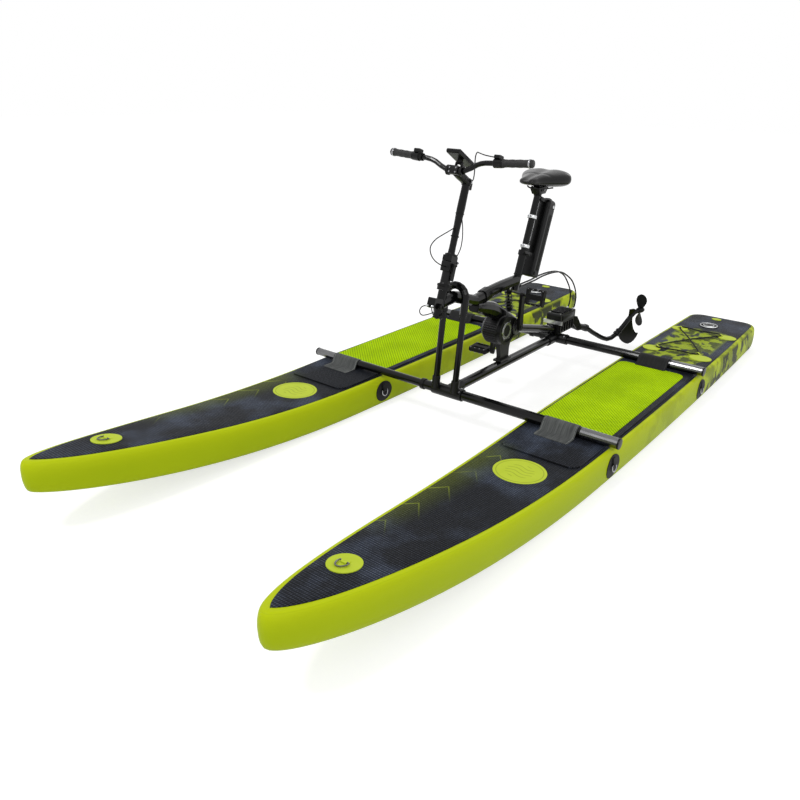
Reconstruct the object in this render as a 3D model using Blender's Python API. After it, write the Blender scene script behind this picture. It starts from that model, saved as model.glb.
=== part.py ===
"""Water bike: a pedal frame on two inflatable boards, with a shaft drive and a steered stern leg.

Metres, +Z up, the bow towards -Y and the port board at +X. The origin is on the floor, at the
middle of the outline. Pieces that turn or slide hang on empties that stand on their axes.
"""
from math import atan2, cos, degrees, hypot, pi, radians, sin

import bmesh
import bpy
import numpy as np
from mathutils import Matrix, Vector

for old in list(bpy.data.objects):
    bpy.data.objects.remove(old, do_unlink=True)

# Fit between pieces that touch, and facets of round pieces
CLEAR = 0.0003
ROUND = 16
FINE = 12
SMALL = 8

# Inflatable boards
BOARD_HALF_LENGTH = 2.04
BOARD_THICKNESS = 0.150
BOARD_SPACING = 1.26
DECK_HALF_WIDTH = 0.210
TAIL_HALF_WIDTH = 0.190
TAIL_CORNER_RADIUS = 0.070
RAIL_BULGE = 0.025
NOSE_THICKNESS = 0.125
NOSE_LIFT = 0.17
NOSE_THINNING = 0.70
ROCKER_START_Y = -0.42
WIDEST_Y = 0.615

# Layers glued to the decks
SKIN_THICKNESS = 0.002
SKIN_INSET = 0.012
PAD_THICKNESS = 0.008
PAD_FRONT_Y = -0.565
PAD_REAR_Y = 0.847
PAD_CORNER = 0.05
PATCH_THICKNESS = 0.003
GLUE_DEPTH = 0.0008
VALVE_RADIUS = 0.060
BUNGEE_DIAMETER = 0.006
NOSE_RING_HALF_WIDTH = 0.018
NOSE_RING_REACH = 0.036
NOSE_RING_WIRE = 0.0028
STRAP_THICKNESS = 0.0016
STRAP_HALF_WIDTH = 0.011
STRAP_TAIL = 0.020
PATCH_GAP = STRAP_THICKNESS + 2 * CLEAR

# Crossbars and the beam between them
BAR_RADIUS = 0.024
BAR_FRONT_Y = -0.285
BAR_REAR_Y = 0.815
BAR_END_X = 0.873
BAR_OPEN_END_X = -0.157
EXTENSION_RADIUS = 0.020
EXTENSION_INSERT = 0.120
EXTENSION_WALL = 0.004
BUTTON_HOLE_INSET = 0.045
BUTTON_HOLE_RADIUS = 0.004
END_CAP_LENGTH = 0.008
BEAM_RADIUS = 0.025
SLEEVE_RADIUS = 0.030
SLEEVE_LENGTH = 0.170
BEAM_SOCKET_RADIUS = 0.031
BEAM_SOCKET_LENGTH = 0.070
BEAM_STOP = 0.004
FLAP_WIDTH = 0.165
FLAP_THICKNESS = 0.003
FLAP_SHIFT = -0.025
FLAP_AHEAD = 0.107
FLAP_BEHIND = 0.060

# Front fork: two legs under an arch
FORK_FOOT_Y = -0.315
FORK_FOOT_Z = 0.213
FORK_LEAN = 6.7
FORK_HALF_WIDTH = 0.055
FORK_LEG_RADIUS = 0.015
FORK_SOCKET_RADIUS = 0.020
FORK_SOCKET_TOP = 0.045
FORK_SOCKET_FLOOR = 0.010
CROWN_RADIUS = 0.018
CROWN_BOTTOM = 0.365
CROWN_ARCH_Z = 0.440

# Frame
HEAD_Y = -0.3957
HEAD_Z = 0.600
HEAD_LEAN = 17.5
HEAD_RADIUS = 0.022
HEAD_BOTTOM = -0.020
HEAD_TOP = 0.105
MAIN_HALF_WIDTH = 0.024
MAIN_HALF_HEIGHT = 0.028
DOWN_HALF_WIDTH = 0.030
SEAT_Y = 0.297
SEAT_Z = 0.620
SEAT_LEAN = 19.2
SEAT_TUBE_RADIUS = 0.021
SEAT_TUBE_TOP = 0.160
SHELL_RADIUS = 0.026
SHELL_PORT_X = 0.0305
SHELL_STARBOARD_X = -0.035
LUG_CLEAR = 0.0005

# Crank drive
CRANK_Y = 0.235
CRANK_Z = 0.402
CRANK_LENGTH = 0.170
CRANK_INNER_X = 0.068
CRANK_OUTER_X = 0.084
AXLE_RADIUS = 0.009
PEDAL_PIN_RADIUS = 0.006
PEDAL_INNER_X = 0.100
PEDAL_OUTER_X = 0.200
PEDAL_LENGTH = 0.085
PEDAL_THICKNESS = 0.026
CHAINRING_RADIUS = 0.045
CHAINRING_TEETH = 20
TOOTH_HEIGHT = 0.006
MOTOR_Y = 0.145
MOTOR_Z = 0.398
MOTOR_RADIUS = 0.076
MOTOR_PORT_X = 0.035
MOTOR_STARBOARD_X = -0.050
MOTOR_COVER_DEPTH = 0.014
MOTOR_SIDES = 24
CASE_THICKNESS = 0.020
SUPPORT_HALF_WIDTH = 0.012
SUPPORT_FRONT_Y = 0.160
SUPPORT_REAR_Y = 0.256

# Shaft and stern gearbox
SHAFT_RADIUS = 0.022
SHAFT_FRONT = (0.256, 0.377)
SHAFT_COLLAR = 0.026
SHAFT_REAR = (0.7747, 0.2435)
GEARBOX_FRONT_Y = 0.775
GEARBOX_REAR_Y = 0.965
GEARBOX_HALF_WIDTH = 0.045
GEARBOX_SEAM_Z = 0.285
GEARBOX_TOP_Z = 0.335
FIN_COUNT = 6
STEER_Y = 1.000
EAR_RADIUS = 0.020
YOKE_BOTTOM = 0.236
YOKE_TOP = 0.288
CABLE_STOP_X = 0.018

# Stern leg, in its own plane: distance aft of the steering pin, height
LEG_SWING = 22.5
TILT_S = 0.055
TILT_Z = 0.200
LEG_RADIUS = 0.015
KNUCKLE_RADIUS = 0.022
KNUCKLE_HALF_WIDTH = 0.022
TILT_PIN_RADIUS = 0.008
YOKE_CHEEK = 0.008
SKEG_THICKNESS = 0.008
LEG_END_S = 0.568
HUB_S = 0.594
HUB_Z = 0.233
HUB_RADIUS = 0.018
PROPELLER_RADIUS = 0.103
BLADE_COUNT = 2
BLADE_CHORD = 0.078
BLADE_PITCH = 0.42

# Stem, handlebar and what is on it, in the leaned steering frame
FOLD_Y = 0.0315
FOLD_Z = 0.2355
FOLD_BLOCK_HALF_X = 0.024
FOLD_BLOCK_HALF_Y = 0.025
FOLD_BARREL_RADIUS = 0.0062
COLUMN_TOP = 0.602
BAR_CENTRE = (0.0, -0.105, 0.610)
GRIP_BAR_RADIUS = 0.011
HAND_INNER = (0.150, -0.119, 0.6485)
HAND_OUTER = (0.356, -0.103, 0.6645)
GRIP_LENGTH = 0.132
GRIP_RADIUS = 0.0165
LEVER_BARREL_RADIUS = 0.006
THROTTLE_REST = 125
DISPLAY_HINGE = (-0.085, 0.6445)
DISPLAY_FRONT = (-0.155, 0.683)
DISPLAY_REAR = (-0.006, 0.651)
DISPLAY_HALF_WIDTH = 0.032
DISPLAY_THICKNESS = 0.018

# Seat post, battery and saddle, in the leaned seat frame
POST_RADIUS = 0.017
POST_INSERT = 0.155
POST_TOP = 0.4585
BATTERY_Y = 0.125
BATTERY_HALF_X = 0.035
BATTERY_HALF_Y = 0.0425
BATTERY_BOTTOM = 0.045
BATTERY_TOP = 0.449
RAIL_WIDTH = 0.013
RAIL_LOW = 0.163
RAIL_HIGH = 0.430
LOWER_RING = 0.173
UPPER_RING = 0.324
RING_HEIGHT = 0.016
CRADLE_Y = 0.455
CRADLE_Z = 1.0655
SADDLE_NOSE_Y = 0.298
SADDLE_LENGTH = 0.276
SADDLE_NOSE_HALF_WIDTH = 0.048
SADDLE_TAIL_HALF_WIDTH = 0.140
SADDLE_NOSE_BOTTOM = 1.101
SADDLE_TAIL_BOTTOM = 1.068
SADDLE_NOSE_TOP = 1.131
SADDLE_TAIL_TOP = 1.169
SADDLE_RAIL_RADIUS = 0.0038

# Cables
STEERING_CABLE = 0.009
COLUMN_CABLE = 0.005


def bore(radius, sides=ROUND):
    """Corner radius of a faceted bore that clears a pin of this radius all round."""
    return (radius + CLEAR) / cos(pi / sides)


DECK_Z = BOARD_THICKNESS
SKIN_Z = DECK_Z + CLEAR
PAD_Z = SKIN_Z + SKIN_THICKNESS + CLEAR
PAD_TOP_Z = PAD_Z + PAD_THICKNESS
BAR_Z = PAD_TOP_Z + CLEAR + BAR_RADIUS
BOARD_X = BOARD_SPACING / 2
FORK = Matrix.Translation((0, FORK_FOOT_Y, FORK_FOOT_Z)) @ Matrix.Rotation(-radians(FORK_LEAN), 4, "X")
HEAD = Matrix.Translation((0, HEAD_Y, HEAD_Z)) @ Matrix.Rotation(-radians(HEAD_LEAN), 4, "X")
SEAT = Matrix.Translation((0, SEAT_Y, SEAT_Z)) @ Matrix.Rotation(-radians(SEAT_LEAN), 4, "X")


# Materials
def material(name, color, roughness, metallic=0.0):
    surface = bpy.data.materials.new(name)
    surface.use_nodes = True
    shader = surface.node_tree.nodes["Principled BSDF"]
    shader.inputs["Base Color"].default_value = (*color, 1.0)
    shader.inputs["Roughness"].default_value = roughness
    shader.inputs["Metallic"].default_value = metallic
    return surface


HULL_LIME = material("hull_lime", (0.40, 0.66, 0.02), 0.50)
DECK_DARK = material("deck_dark", (0.030, 0.034, 0.026), 0.70)
PAD_LIME = material("pad_lime", (0.36, 0.60, 0.03), 0.85)
FLAP_GREY = material("flap_grey", (0.085, 0.088, 0.092), 0.80)
CORD_DARK = material("cord_dark", (0.020, 0.020, 0.022), 0.70)
FRAME_BLACK = material("frame_black", (0.016, 0.017, 0.018), 0.32, 0.35)
SATIN_BLACK = material("satin_black", (0.022, 0.023, 0.025), 0.45)
RUBBER_BLACK = material("rubber_black", (0.020, 0.020, 0.020), 0.80)
SILVER = material("silver", (0.62, 0.63, 0.64), 0.28, 1.0)
STEEL_DARK = material("steel_dark", (0.16, 0.16, 0.17), 0.35, 1.0)
CAST_GREY = material("cast_grey", (0.10, 0.105, 0.11), 0.45, 0.6)
SPRING_STEEL = material("spring_steel", (0.07, 0.07, 0.075), 0.35, 0.8)
SADDLE_LEATHER = material("saddle_leather", (0.022, 0.022, 0.023), 0.42)


# Shapes: each is a list of corners and a list of faces, in metres
def moved(shape, matrix):
    corners, faces = shape
    return [matrix @ Vector(corner) for corner in corners], faces


def together(*shapes):
    corners, faces = [], []
    for more_corners, more_faces in shapes:
        start = len(corners)
        corners += [Vector(corner) for corner in more_corners]
        faces += [tuple(start + index for index in face) for face in more_faces]
    return corners, faces


def loft(rings):
    """Skin over rings of equal length, closed by a flat face at each end."""
    count = len(rings[0])
    corners = [Vector(corner) for ring in rings for corner in ring]
    faces = [tuple(range(count))[::-1], tuple(range(len(corners) - count, len(corners)))]
    for level in range(len(rings) - 1):
        for index in range(count):
            after = (index + 1) % count
            low, high = level * count, (level + 1) * count
            faces.append((low + index, low + after, high + after, high + index))
    return corners, faces


def smooth_route(points, count, closed=False):
    """Evenly spaced points on the smooth curve that passes through the given points."""
    knots = [np.array(point, dtype=float) for point in points]
    if closed:
        knots = [knots[-1]] + knots + knots[:2]
    else:
        knots = [2 * knots[0] - knots[1]] + knots + [2 * knots[-1] - knots[-2]]
    dense = []
    for before, start, end, after in zip(knots, knots[1:], knots[2:], knots[3:]):
        for part in np.linspace(0, 1, 24, endpoint=False):
            dense.append(0.5 * (2 * start + (end - before) * part
                                + (2 * before - 5 * start + 4 * end - after) * part ** 2
                                + (3 * start - before - 3 * end + after) * part ** 3))
    dense = np.array(dense + [knots[-2]])
    length = np.concatenate([[0], np.cumsum(np.linalg.norm(np.diff(dense, axis=0), axis=1))])
    wanted = np.linspace(0, length[-1], count + 1)[:-1] if closed else np.linspace(0, length[-1], count)
    return [Vector([np.interp(at, length, dense[:, axis]) for axis in range(len(knots[0]))]) for at in wanted]


def sweep(path, sizes, sides=FINE, across=(1, 0, 0), power=2.0, grow=0.0):
    """A bar along a path, grown on every side. A size is a radius, or a half width and a half height."""
    path = [Vector(point) for point in path]
    path[0] += (path[0] - path[1]).normalized() * grow
    path[-1] += (path[-1] - path[-2]).normalized() * grow
    if not isinstance(sizes, list):
        sizes = [sizes] * len(path)
    rings = []
    for index, centre in enumerate(path):
        ahead = path[min(index + 1, len(path) - 1)]
        behind = path[max(index - 1, 0)]
        tangent = (ahead - behind).normalized()
        side = Vector(across)
        side = (side - tangent * side.dot(tangent)).normalized()
        high = tangent.cross(side)
        size = sizes[index]
        half_width, half_height = size if isinstance(size, tuple) else (size, size)
        ring = []
        for step in range(sides):
            angle = 2 * pi * step / sides
            out = abs(cos(angle)) ** (2 / power) * (1 if cos(angle) >= 0 else -1)
            rise = abs(sin(angle)) ** (2 / power) * (1 if sin(angle) >= 0 else -1)
            ring.append(centre + side * (half_width + grow) * out + high * (half_height + grow) * rise)
        rings.append(ring)
    return loft(rings)


def cylinder(start, end, radius, sides=ROUND, across=(1, 0, 0)):
    axis = Vector(end) - Vector(start)
    if abs(axis.normalized().dot(Vector(across))) > 0.9:
        across = (0, 0, 1)
    return sweep([start, end], radius, sides, across)


def turned(profile, sides=ROUND):
    """A body turned round +Z from (radius, height) pairs."""
    rings = []
    for radius, height in profile:
        rings.append([(radius * cos(2 * pi * step / sides), radius * sin(2 * pi * step / sides), height)
                      for step in range(sides)])
    return loft(rings)


def plate(outline, low, high):
    """An outline of (y, z) pairs, extruded along X."""
    return loft([[(x, y, z) for y, z in outline] for x in (low, high)])


def block(low, high, corner=0.0):
    """A box whose edges along X are rounded off by the given radius."""
    if not corner:
        outline = [(low[1], low[2]), (high[1], low[2]), (high[1], high[2]), (low[1], high[2])]
        return plate(outline, low[0], high[0])
    outline = []
    turns = ((high[1] - corner, high[2] - corner, 0), (low[1] + corner, high[2] - corner, 90),
             (low[1] + corner, low[2] + corner, 180), (high[1] - corner, low[2] + corner, 270))
    for y, z, start in turns:
        for step in range(4):
            angle = radians(start + 30 * step)
            outline.append((y + corner * cos(angle), z + corner * sin(angle)))
    return plate(outline, low[0], high[0])


def arc(y, z, radius, start, end, steps):
    """Points on an arc in the YZ plane, from start to end in degrees."""
    angles = [radians(start + (end - start) * step / steps) for step in range(steps + 1)]
    return [(y + radius * cos(angle), z + radius * sin(angle)) for angle in angles]


def teardrop(large, large_radius, small, small_radius, grow=0.0, steps=12):
    """Outline round two circles and the tangents that join them."""
    along = Vector(small) - Vector(large)
    lean = degrees(atan2(along.y, along.x))
    spread = degrees(pi / 2 - np.arcsin((large_radius - small_radius) / along.length))
    big = arc(*large, large_radius + grow, lean + spread, lean + 360 - spread, 2 * steps)
    return big + arc(*small, small_radius + grow, lean - spread, lean + spread, steps)


# Objects
def mesh_object(name, shape, finish, parent, pivot, sharp=35):
    corners, faces = shape
    mesh = bpy.data.meshes.new(name)
    mesh.from_pydata([Vector(corner) - Vector(pivot) for corner in corners], [], faces)
    shell = bmesh.new()
    shell.from_mesh(mesh)
    bmesh.ops.recalc_face_normals(shell, faces=shell.faces)
    shell.to_mesh(mesh)
    shell.free()
    mesh.shade_smooth()
    mesh.set_sharp_from_angle(angle=radians(sharp))
    if finish:
        mesh.materials.append(finish)
    piece = bpy.data.objects.new(name, mesh)
    bpy.context.scene.collection.objects.link(piece)
    piece.parent = parent
    piece.location = pivot
    return piece


def solid(name, shape, finish, add=(), cut=(), parent=None, pivot=(0, 0, 0), sharp=35):
    """A piece from one shape, with other shapes joined to it and then cut out of it."""
    piece = mesh_object(name, shape, finish, parent, pivot, sharp)
    for operation, tools in (("UNION", add), ("DIFFERENCE", cut)):
        for number, tool_shape in enumerate(tools):
            tool = mesh_object(f"{name}_{operation.lower()}_{number}", tool_shape, None, parent, (0, 0, 0))
            tool.hide_render = True
            tool.display_type = "WIRE"
            change = piece.modifiers.new(tool.name, "BOOLEAN")
            change.operation = operation
            change.solver = "EXACT"
            change.object = tool
    return piece


def cord(name, routes, diameter, finish, parent=None, closed=False, resolution=1):
    """Round cords along lists of points, kept as one curve."""
    curve = bpy.data.curves.new(name, "CURVE")
    curve.dimensions = "3D"
    curve.bevel_depth = diameter / 2
    curve.bevel_resolution = resolution
    curve.use_fill_caps = True
    curve.materials.append(finish)
    for route in routes:
        spline = curve.splines.new("POLY")
        spline.points.add(len(route) - 1)
        spline.use_cyclic_u = closed
        spline.use_smooth = True
        for knot, point in zip(spline.points, route):
            knot.co = (*point, 1.0)
    piece = bpy.data.objects.new(name, curve)
    bpy.context.scene.collection.objects.link(piece)
    piece.parent = parent
    return piece


def axis_empty(name, place, lean=0.0, swing=0.0, parent=None):
    """An empty on a joint's axis, leaned back about X and swung to port about Z, in degrees."""
    anchor = bpy.data.objects.new(name, None)
    bpy.context.scene.collection.objects.link(anchor)
    anchor.parent = parent
    anchor.location = place
    anchor.rotation_euler = (-radians(lean), 0, -radians(swing))
    return anchor


# Boards
BOARD_NOSE_Y = RAIL_BULGE - BOARD_HALF_LENGTH
BOARD_TAIL_Y = BOARD_HALF_LENGTH - RAIL_BULGE


def deck_half_width(y):
    """Half width of the deck: a full bow curve, a slight taper aft and round tail corners."""
    if y < WIDEST_Y:
        share = min((WIDEST_Y - y) / (WIDEST_Y - BOARD_NOSE_Y), 1.0)
        return DECK_HALF_WIDTH * (1 - share ** 2.586) ** 0.576
    share = (y - WIDEST_Y) / (BOARD_TAIL_Y - WIDEST_Y)
    half = DECK_HALF_WIDTH - (DECK_HALF_WIDTH - TAIL_HALF_WIDTH) * share ** 2
    into_corner = y - (BOARD_TAIL_Y - TAIL_CORNER_RADIUS)
    if into_corner > 0:
        half -= TAIL_CORNER_RADIUS - max(TAIL_CORNER_RADIUS ** 2 - into_corner ** 2, 0.0) ** 0.5
    return half


def board_stations():
    """Where the hull has a rib line, closest together at the bow and the tail corners."""
    bow = [BOARD_NOSE_Y + (WIDEST_Y - BOARD_NOSE_Y) * (step / 12) ** 2 for step in range(13)]
    straight = list(np.linspace(WIDEST_Y, BOARD_TAIL_Y - TAIL_CORNER_RADIUS, 5)[1:])
    corner = [BOARD_TAIL_Y - TAIL_CORNER_RADIUS * (1 - sin(radians(angle))) for angle in (30, 55, 75, 90)]
    return sorted(bow + [ROCKER_START_Y] + straight + corner)


STATIONS = board_stations()


def bottom_height(y):
    rise = max((ROCKER_START_Y - y) / (ROCKER_START_Y - BOARD_NOSE_Y), 0.0)
    return NOSE_LIFT * rise ** 2.15


def deck_height(y):
    thin = max((BOARD_NOSE_Y + NOSE_THINNING - y) / NOSE_THINNING, 0.0)
    return bottom_height(y) + BOARD_THICKNESS - (BOARD_THICKNESS - NOSE_THICKNESS) * thin ** 2


def on_deck(y):
    """Height of the deck between the hull's rib lines."""
    return float(np.interp(y, STATIONS, [deck_height(station) for station in STATIONS]))


def outline_normal(index):
    before = STATIONS[max(index - 1, 0)]
    after = STATIONS[min(index + 1, len(STATIONS) - 1)]
    slope = (deck_half_width(after) - deck_half_width(before)) / (after - before)
    if index == 0:
        return 0.0, -1.0
    if index == len(STATIONS) - 1:
        return 0.35, 0.94
    length = hypot(1, slope)
    return 1 / length, -slope / length


def rail_point(index, level):
    """Point on the rail, at a level from -1 at the bottom to 1 at the deck: across, along, height."""
    y = STATIONS[index]
    angle = level * pi / 2
    bulge = RAIL_BULGE * cos(angle) ** 0.6 if abs(level) < 1 else 0.0
    out, along = outline_normal(index)
    middle = (bottom_height(y) + deck_height(y)) / 2
    height = middle + (deck_height(y) - bottom_height(y)) / 2 * sin(angle)
    return deck_half_width(y) + bulge * out, y + bulge * along, height


LEVELS = [-1, -0.62, 0, 0.62, 1]


def board_shape(centre_x):
    ribs = len(STATIONS)
    ring = 2 * ribs - 1
    corners = []
    for level in LEVELS:
        side = [rail_point(index, level) for index in range(ribs)]
        corners += [(centre_x + x, y, z) for x, y, z in side]
        corners += [(centre_x - x, y, z) for x, y, z in side[:0:-1]]
    faces = []
    for level in range(len(LEVELS) - 1):
        for index in range(ring):
            after = (index + 1) % ring
            faces.append((level * ring + index, level * ring + after,
                          (level + 1) * ring + after, (level + 1) * ring + index))
    for start in (0, (len(LEVELS) - 1) * ring):
        faces.append((start, start + 1, start + ring - 1))
        for index in range(1, ribs - 1):
            faces.append((start + index, start + index + 1, start + ring - index - 1, start + ring - index))
    return corners, faces


def deck_sheet(centre_x, along, half_widths, base, thickness):
    """A sheet on the deck with rib lines where the hull has them."""
    corners, faces = [], []
    count = len(along)
    for lift in (base, base + thickness):
        for side in (1, -1):
            corners += [(centre_x + side * half, y, on_deck(y) + lift) for y, half in zip(along, half_widths)]
    for index in range(count - 1):
        port_low, starboard_low = index, count + index
        port_high, starboard_high = 2 * count + index, 3 * count + index
        faces.append((port_low, port_low + 1, starboard_low + 1, starboard_low))
        faces.append((port_high, port_high + 1, starboard_high + 1, starboard_high))
        faces.append((port_low, port_low + 1, port_high + 1, port_high))
        faces.append((starboard_low, starboard_low + 1, starboard_high + 1, starboard_high))
    for index in (0, count - 1):
        faces.append((index, count + index, 3 * count + index, 2 * count + index))
    return corners, faces


def with_ribs(along):
    """The given places, with the hull's rib lines that lie between them."""
    inside = [y for y in STATIONS if along[0] + 0.002 < y < along[-1] - 0.002]
    kept = [y for y in along if all(abs(y - rib) > 0.002 for rib in inside)]
    return sorted(kept + inside)


def skin_half_width(y):
    """Deck outline drawn in by the skin's inset, round at both ends too."""
    nose, tail = BOARD_NOSE_Y + SKIN_INSET, BOARD_TAIL_Y - SKIN_INSET
    share = (y - nose) / (tail - nose)
    half = deck_half_width(BOARD_NOSE_Y + share * (BOARD_TAIL_Y - BOARD_NOSE_Y))
    return max(half - SKIN_INSET * 0.9, 0.006)


def rounded_end(y, end, radius, half):
    """Half width of a pad whose corners at one end are round."""
    into = radius - abs(y - end)
    if into <= 0:
        return half
    return half - radius + (radius ** 2 - into ** 2) ** 0.5


def boards():
    for side, name in ((1, "port"), (-1, "starboard")):
        x = side * BOARD_X
        patches = [side_patch(x, out, middle_y) for middle_y in SIDE_PATCH_PLACES for out in (1, -1)]
        solid(f"{name}_board", board_shape(x), HULL_LIME, add=[together(*patches)], sharp=50)
        nose, tail = BOARD_NOSE_Y + SKIN_INSET, BOARD_TAIL_Y - SKIN_INSET
        ends = [nose, nose + 0.012, nose + 0.035, tail - 0.06, tail - 0.035, tail - 0.015, tail - 0.004, tail]
        along = with_ribs(ends)
        skin = deck_sheet(x, along, [skin_half_width(y) for y in along], CLEAR, SKIN_THICKNESS)
        strap, strap_bore = ring_strap(x)
        solid(f"{name}_deck_skin", skin, DECK_DARK, add=[deck_patches(x), valve(x), strap], cut=[strap_bore])
        ends = [PAD_FRONT_Y, PAD_FRONT_Y + 0.004, PAD_FRONT_Y + 0.015, PAD_FRONT_Y + PAD_CORNER,
                PAD_REAR_Y - PAD_CORNER, PAD_REAR_Y - 0.015, PAD_REAR_Y - 0.004, PAD_REAR_Y]
        along = with_ribs(ends)
        halves = []
        for y in along:
            half = skin_half_width(y) - 0.001
            half = rounded_end(y, PAD_FRONT_Y, PAD_CORNER, half)
            halves.append(rounded_end(y, PAD_REAR_Y, PAD_CORNER, half))
        pad = deck_sheet(x, along, halves, PAD_Z - DECK_Z, PAD_THICKNESS)
        solid(f"{name}_traction_pad", pad, PAD_LIME)


def ahead_of_tail(*places):
    """Places on a deck, given as distance to port of its middle and distance ahead of its tail."""
    return tuple((across, BOARD_TAIL_Y - ahead) for across, ahead in places)


# Patches, valves, rings and bungees
BUNGEE_CORNERS = ahead_of_tail((-0.150, 0.410), (0.100, 0.410), (-0.130, 0.870), (0.100, 0.845))
LEAF_PATCHES = ahead_of_tail((-0.170, 0.420), (0.150, 0.420), (-0.155, 0.910), (0.136, 0.910))
TAIL_PATCH, VALVE_PLACE = ahead_of_tail((-0.030, 0.060), (-0.025, 0.240))
NOSE_PATCH = (-0.020, BOARD_NOSE_Y + 0.320)
SIDE_PATCH_PLACES = (BAR_FRONT_Y, BAR_REAR_Y + 0.030)
PATCH_BASE = CLEAR + SKIN_THICKNESS - GLUE_DEPTH
PATCH_TOP = CLEAR + SKIN_THICKNESS + PATCH_THICKNESS


def oval_sheet(centre_x, place, half_x, half_y):
    """A thin oval glued to the deck skin."""
    dx, middle = place
    along = with_ribs([middle + half_y * sin(radians(angle)) for angle in (-90, -60, -20, 20, 60, 90)])
    halves = [max(half_x * max(1 - ((y - middle) / half_y) ** 2, 0) ** 0.5, 0.2 * half_x) for y in along]
    return deck_sheet(centre_x + dx, along, halves, PATCH_BASE, PATCH_TOP - PATCH_BASE)


def side_patch(side_x, out, middle_y):
    """A patch that follows the rail at one place: side_x is the board's middle, out its side."""
    rows = []
    for number, level in enumerate((-0.62, 0, 0.62)):
        half_y = 0.060 if number == 1 else 0.045
        ends = []
        for y in (middle_y - half_y, middle_y + half_y):
            known = [rail_at(station, level) for station in range(len(STATIONS))]
            x = np.interp(y, [point[1] for point in known], [point[0] for point in known])
            z = np.interp(y, [point[1] for point in known], [point[2] for point in known])
            ends.append((float(x), y, float(z)))
        rows.append(ends)
    corners = []
    for lift in (-GLUE_DEPTH, PATCH_THICKNESS):
        for number, ends in enumerate(rows):
            tilt = radians((-35, 0, 35)[number])
            for x, y, z in ends:
                corners.append((side_x + out * (x + lift * cos(tilt)), y, z + lift * sin(tilt)))
    faces = []
    count = 2 * len(rows)
    for low in range(0, count - 2, 2):
        faces.append((low, low + 1, low + 3, low + 2))
        faces.append((count + low, count + low + 1, count + low + 3, count + low + 2))
        faces.append((low, low + 2, count + low + 2, count + low))
        faces.append((low + 1, low + 3, count + low + 3, count + low + 1))
    faces += [(0, 1, count + 1, count), (count - 2, count - 1, 2 * count - 1, 2 * count - 2)]
    return corners, faces


def rail_at(station, level):
    """Point on the hull's faceted rail between two of its levels."""
    below = max(number for number, known in enumerate(LEVELS) if known <= level)
    above = min(below + 1, len(LEVELS) - 1)
    share = (level - LEVELS[below]) / (LEVELS[above] - LEVELS[below]) if above > below else 0
    low, high = rail_point(station, LEVELS[below]), rail_point(station, LEVELS[above])
    return tuple(a + (b - a) * share for a, b in zip(low, high))


def ring_shape(half_width, reach, wire, around=6):
    """A closed D of round wire in the XY plane, its straight side on the X axis."""
    route = [(half_width, 0), (-half_width, 0)]
    for step in range(1, 9):
        angle = radians(180 + 20 * step)
        route.append((half_width * 1.12 * cos(angle), reach * sin(angle)))
    corners, faces = [], []
    for index, (x, y) in enumerate(route):
        before, after = Vector(route[index - 1]), Vector(route[(index + 1) % len(route)])
        tangent = (after - before).normalized()
        for part in range(around):
            roll = 2 * pi * (part + 0.5) / around
            out = wire * cos(roll)
            corners.append((x - tangent.y * out, y + tangent.x * out, wire * sin(roll)))
    for step in range(len(route)):
        for part in range(around):
            here, there = step * around, (step + 1) % len(route) * around
            beside = (part + 1) % around
            faces.append((here + part, there + part, there + beside, here + beside))
    return corners, faces


def nose_ring_frame(x):
    """Frame on the middle of a nose ring's bar: +X along the bar, +Z square to the deck."""
    y = NOSE_PATCH[1]
    slope = atan2(on_deck(y - 0.03) - on_deck(y + 0.03), 0.06)
    above = PATCH_GAP + NOSE_RING_WIRE
    place = Matrix.Translation((x + NOSE_PATCH[0], y, on_deck(y) + PATCH_TOP))
    return place @ Matrix.Rotation(-slope, 4, "X") @ Matrix.Translation((0, 0, above))


def ring_strap(x):
    """Webbing that loops round a nose ring's bar and lies back on the patch, and the bar's bore."""
    outer = bore(NOSE_RING_WIRE, FINE) + STRAP_THICKNESS
    base = -(PATCH_GAP + NOSE_RING_WIRE + GLUE_DEPTH)
    outline = arc(0, 0, outer, 35, 250, 8)
    outline += [(-0.002, base), (STRAP_TAIL, base), (STRAP_TAIL, base + GLUE_DEPTH + 2 * STRAP_THICKNESS)]
    strap = plate(outline, -STRAP_HALF_WIDTH, STRAP_HALF_WIDTH)
    end = STRAP_HALF_WIDTH + 0.01
    hole = cylinder((-end, 0, 0), (end, 0, 0), bore(NOSE_RING_WIRE, FINE), FINE)
    return moved(strap, nose_ring_frame(x)), moved(hole, nose_ring_frame(x))


def deck_patches(x):
    leaves = [oval_sheet(x, place, 0.046, 0.030) for place in LEAF_PATCHES]
    return together(*leaves, oval_sheet(x, NOSE_PATCH, 0.052, 0.060), oval_sheet(x, TAIL_PATCH, 0.030, 0.022))


def valve(x):
    """Inflation valve: a flange, a raised ring and a cap."""
    place = (x + VALVE_PLACE[0], VALVE_PLACE[1], on_deck(VALVE_PLACE[1]) + PATCH_BASE)
    profile = [(VALVE_RADIUS, 0), (VALVE_RADIUS, 0.003), (0.050, 0.005), (0.036, 0.007), (0.020, 0.0055),
               (0.012, 0.008)]
    return moved(turned(profile), Matrix.Translation(place))


def deck_fittings():
    for side, name in ((1, "port"), (-1, "starboard")):
        cord(f"{name}_bungee", [bungee_route(side * BOARD_X)], BUNGEE_DIAMETER, CORD_DARK, closed=True)
        place = nose_ring_frame(side * BOARD_X)
        ring = ring_shape(NOSE_RING_HALF_WIDTH, NOSE_RING_REACH, NOSE_RING_WIRE)
        solid(f"{name}_nose_ring", moved(ring, place), STEEL_DARK, pivot=place.translation)


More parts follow.
